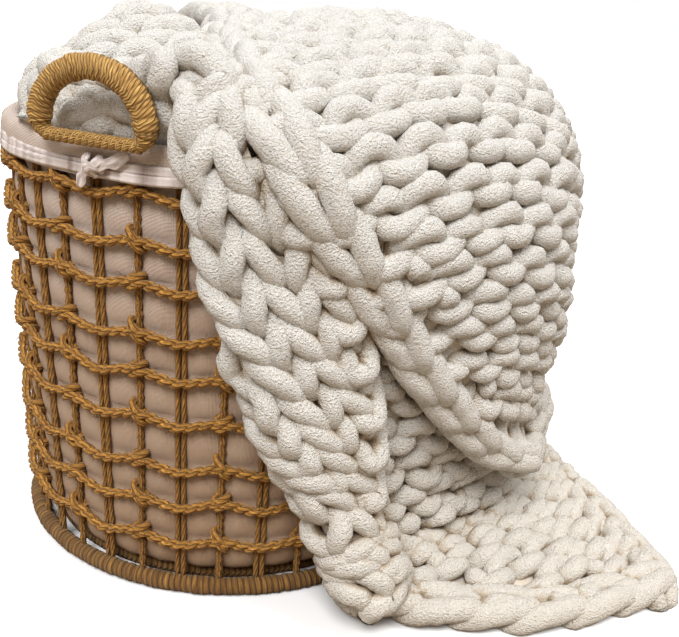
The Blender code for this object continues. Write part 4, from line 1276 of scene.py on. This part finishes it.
v_run = np.concatenate([[0], np.cumsum(np.linalg.norm(np.diff(shell[:, 0], axis=0), axis=1))])
liner_uv = np.stack(np.broadcast_arrays(liner_angle[None] * .205, v_run[:, None]), axis=-1)
liner = mesh_object("liner_cloth", shell.reshape(-1, 3), grid_quads(*shell.shape[:2], wrap=True), cotton,
                    liner_uv.reshape(-1, 2))
liner_thick = liner.modifiers.new("thickness", "SOLIDIFY")
liner_thick.thickness, liner_thick.offset = 0.0012, -1
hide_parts("basket_liner")

# %% [markdown]
# ## Ribbon
# A narrow strip of the same cotton runs twice round the cuff. It is soft, so it wavers up and down and
# lies in long creases. Five rows of points across each strip are enough for two creases, and a noise
# stretched along the strip adds the finer ones, as bumps and as painted shade in the colour.

# %% Ribbon finish
ribbon_cloth, tree, shader = new_material("liner_ribbon", 0.8, sheen=0.2)
place = node(tree, "ShaderNodeTexCoord").outputs["Object"]
uv = node(tree, "ShaderNodeTexCoord").outputs["UV"]
stretch = node(tree, "ShaderNodeMapping", {}, Vector=uv).outputs["Vector"]
stretch.node.inputs["Scale"].default_value = (60, 8, 1)
creases = node(tree, "ShaderNodeTexNoise", {}, Vector=stretch, Scale=1.0, Detail=4.0).outputs["Fac"]
# painted shade in the creases: the colour darkens where the crease noise is low
crease_shaded_colour = ramp(tree, creases, (0.34, (.34, .26, .23)), (0.56, (.76, .68, .65)))
tree.links.new(crease_shaded_colour, shader.inputs["Base Color"])
nap = use_group(tree, fuzz, Place=place, Fibre=1600.0, Lump=700.0)
bumped(tree, shader, maths(tree, "ADD", creases, maths(tree, "MULTIPLY", nap["Height"], 0.3)), 0.0015, 0.7)
print("material:", ribbon_cloth.name)

# %% Ribbon round the cuff
RIBBON_R, RIBBON_HALF, RIBBON_STEPS = 0.2226, 0.0040, 240
ROWS_ACROSS, CREASED = (1, .55, .1, -.4, -1), (1, 3)
round_angle = np.linspace(0, 2 * np.pi, RIBBON_STEPS, endpoint=False)
circle = np.stack([np.cos(round_angle), np.sin(round_angle), 0 * round_angle], axis=1)
wander = smooth_noise(circle * 3.0, 1.0, 10)
strip_quads = grid_quads(len(ROWS_ACROSS), RIBBON_STEPS, wrap=True)
strip_across = np.array([0, .25, .45, .7, 1])[:, None] * 2 * RIBBON_HALF
strip_uv = np.stack(np.broadcast_arrays(round_angle[None] * RIBBON_R, strip_across), axis=-1)
for turn_no, strip_off in enumerate((.0025, -.0025)):
    strip_rows = []
    for crease_no, edge_side in enumerate(ROWS_ACROSS):
        strip_z = TIE_Z + strip_off + .0020 * wander * (1 if turn_no else -1) + edge_side * RIBBON_HALF
        crease = smooth_noise(circle * 7 + 5 * crease_no, 1.0, 11)
        out = RIBBON_R + .0009 * turn_no + (.0011 if crease_no in CREASED else 0) + .0008 * crease
        strip_rows.append(np.stack([out * circle[:, 0], out * circle[:, 1], strip_z], axis=1))
    strip = mesh_object(f"ribbon_{turn_no + 1}", np.vstack(strip_rows), strip_quads, ribbon_cloth,
                        strip_uv.reshape(-1, 2))
    thin = strip.modifiers.new("thickness", "SOLIDIFY")
    thin.thickness, thin.offset = 0.0007, 1
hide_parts("liner_tie")

# %% [markdown]
# ## Knot
# The ribbon's ends are tied once and hang as two short tails. A flattened tube along a bent line is
# near enough to a crumpled strip: two flat ones for the tails, and three rounder ones that wrap over
# each other for the knot itself. Each is given by a few stations round the cuff.

# %% Knot with its tails
KNOT_DEG = -120.0
knot_pile = Tubes()


def on_cuff(stations, out):
    """A line through stations (degrees from the knot, height, distance from the cuff)."""
    degrees, heights, extra = np.array(stations, float).T
    angles, reaches = np.radians(KNOT_DEG + degrees), CUFF + out + extra
    return np.stack([reaches * np.cos(angles), reaches * np.sin(angles), heights], axis=1)


def bent(points, count=24):
    """A smooth line through a few points."""
    points = np.asarray(points, float)
    t = np.linspace(0, len(points) - 1, count)
    i = np.clip(t.astype(int), 0, len(points) - 2)
    u = (t - i)[:, None]
    padded = np.vstack([2 * points[0] - points[1], points, 2 * points[-1] - points[-2]])
    a, b, c, d = padded[i], padded[i + 1], padded[i + 2], padded[i + 3]
    return .5 * (2 * b + (c - a) * u + (2 * a - 5 * b + 4 * c - d) * u ** 2
                 + (3 * b - a - 3 * c + d) * u ** 3)


# half width, how flat, and the stations: two tails, then three wraps
STRIPS_OF_KNOT = (
    (.0046, .22, [(.4, .3770, .004), (2.6, .3790, .004), (5.0, .3820, .003), (7.6, .3880, .002)]),
    (.0046, .22, [(-.2, .3760, .005), (-1.6, .3715, .005), (-2.6, .3660, .003), (-3.4, .3600, .003)]),
    (.0034, .45, [(-1.5, .3850, .001), (-1.2, .3800, .0060), (-.3, .3745, .0075), (.6, .3685, .002)]),
    (.0036, .45, [(1.7, .3835, .001), (1.0, .3785, .0065), (-.4, .3755, .0085), (-1.9, .3705, .002)]),
    (.0030, .45, [(-2.2, .3785, .001), (-1.0, .3795, .0070), (.6, .3765, .0080), (2.0, .3725, .001)]),
)
for half_wide, flatness, stations in STRIPS_OF_KNOT:
    line = bent(on_cuff(stations, .001))
    swell = half_wide * (1 + .18 * np.sin(np.linspace(0, 11, len(line))))
    knot_pile.add(line, swell, outwards(line), 12, flat=flatness, lumps=.0007)
knot = knot_pile.mesh("ribbon_knot", ribbon_cloth)
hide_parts("liner_tie_knot")

# %% [markdown]
# ## Hoop
# The hoop that carries the cuff is plain round wire, hidden in its fold. Its plain solid already has
# the true form, so it stays, and only gets a finish: dark paint, rubbed lighter here and there.

# %% Hoop
wire_paint, tree, shader = new_material("hoop_wire", 0.45)
place = node(tree, "ShaderNodeTexCoord").outputs["Object"]
scuff = node(tree, "ShaderNodeTexNoise", {}, Vector=place, Scale=120.0, Detail=3.0).outputs["Fac"]
tree.links.new(ramp(tree, scuff, (.35, (.10, .09, .07)), (.7, (.25, .22, .18))), shader.inputs["Base Color"])
bumped(tree, shader, scuff, 0.0004, 0.5)
for solid_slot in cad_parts["rim_hoop"].material_slots:
    solid_slot.material = wire_paint
print("material:", wire_paint.name)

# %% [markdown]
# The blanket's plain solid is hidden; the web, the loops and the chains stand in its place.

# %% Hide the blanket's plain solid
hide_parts("knit_blanket")

# %% [markdown]
# ## Floor and light
# A pale floor and four soft, far lamps show the yarn's roundness without hard shadows. The key light
# comes from the front and above, a second one from the right, and two weak ones from the left and the
# back lift the shadows. The floor and the surroundings look white to the camera. The light that they
# send back is dimmer and warmer, as from a wooden floor, so that the lower hollows stay dark.

# %% Floor
FAR = 80
floor_mesh = bpy.data.meshes.new("floor")
floor_mesh.from_pydata([(-FAR, -FAR, 0), (FAR, -FAR, 0), (FAR, FAR, 0), (-FAR, FAR, 0)], [], [(0, 1, 2, 3)])
floor = bpy.data.objects.new("floor", floor_mesh)
bpy.context.scene.collection.objects.link(floor)
floor_paint, tree, shader = new_material("floor_paint", 0.9)
seen_by_eye = node(tree, "ShaderNodeLightPath").outputs["Is Camera Ray"]
floor_colour = mixed(tree, seen_by_eye, (.30, .225, .15, 1), (.94, .94, .94, 1))
tree.links.new(floor_colour, shader.inputs["Base Color"])
floor_mesh.materials.append(floor_paint)

# %% Surroundings
world = bpy.data.worlds.new("studio")
bpy.context.scene.world = world
world.use_nodes = True
sky = world.node_tree
sky_way = node(sky, "ShaderNodeSeparateXYZ", {}, Vector=node(sky, "ShaderNodeTexCoord").outputs["Generated"])
glow = ramp(sky, maths(sky, "MULTIPLY", sky_way.outputs["Z"], 1.0, clamp=True),
            (0.0, (.085, .07, .05)), (0.30, (.20, .18, .15)), (0.75, (.72, .72, .72)))
seen = mixed(sky, node(sky, "ShaderNodeLightPath").outputs["Is Camera Ray"], glow, (1.0, 1.0, 1.0, 1))
sky.links.new(seen, sky.nodes["Background"].inputs["Color"])
sky.nodes["Background"].inputs["Strength"].default_value = 1.0

# %% Lamps


def lamp(name, direction, spread, strength):
    """A soft far lamp; direction points from the object to it."""
    data = bpy.data.lights.new(name, "SUN")
    data.angle, data.energy = spread, strength
    made = bpy.data.objects.new(name, data)
    back = unit(np.array(direction, float))
    side = unit(np.cross((0, 0, 1), back))
    made.matrix_world = Matrix([[*row] for row in np.vstack([
        np.column_stack([side, np.cross(back, side), back, 2 * back]), [0, 0, 0, 1]])])
    bpy.context.scene.collection.objects.link(made)
    print(f"lamp {name}: strength {strength}")


lamp("key", (-.40, -1.15, 1.50), .45, 3.00)
lamp("side", (-1.88, -.95, 1.30), .60, .30)
lamp("front", (1.3, -.60, 1.75), .45, 1.45)
lamp("back", (.42, 1.65, 1.30), .60, .50)
bpy.context.scene.view_settings.view_transform = "Standard"
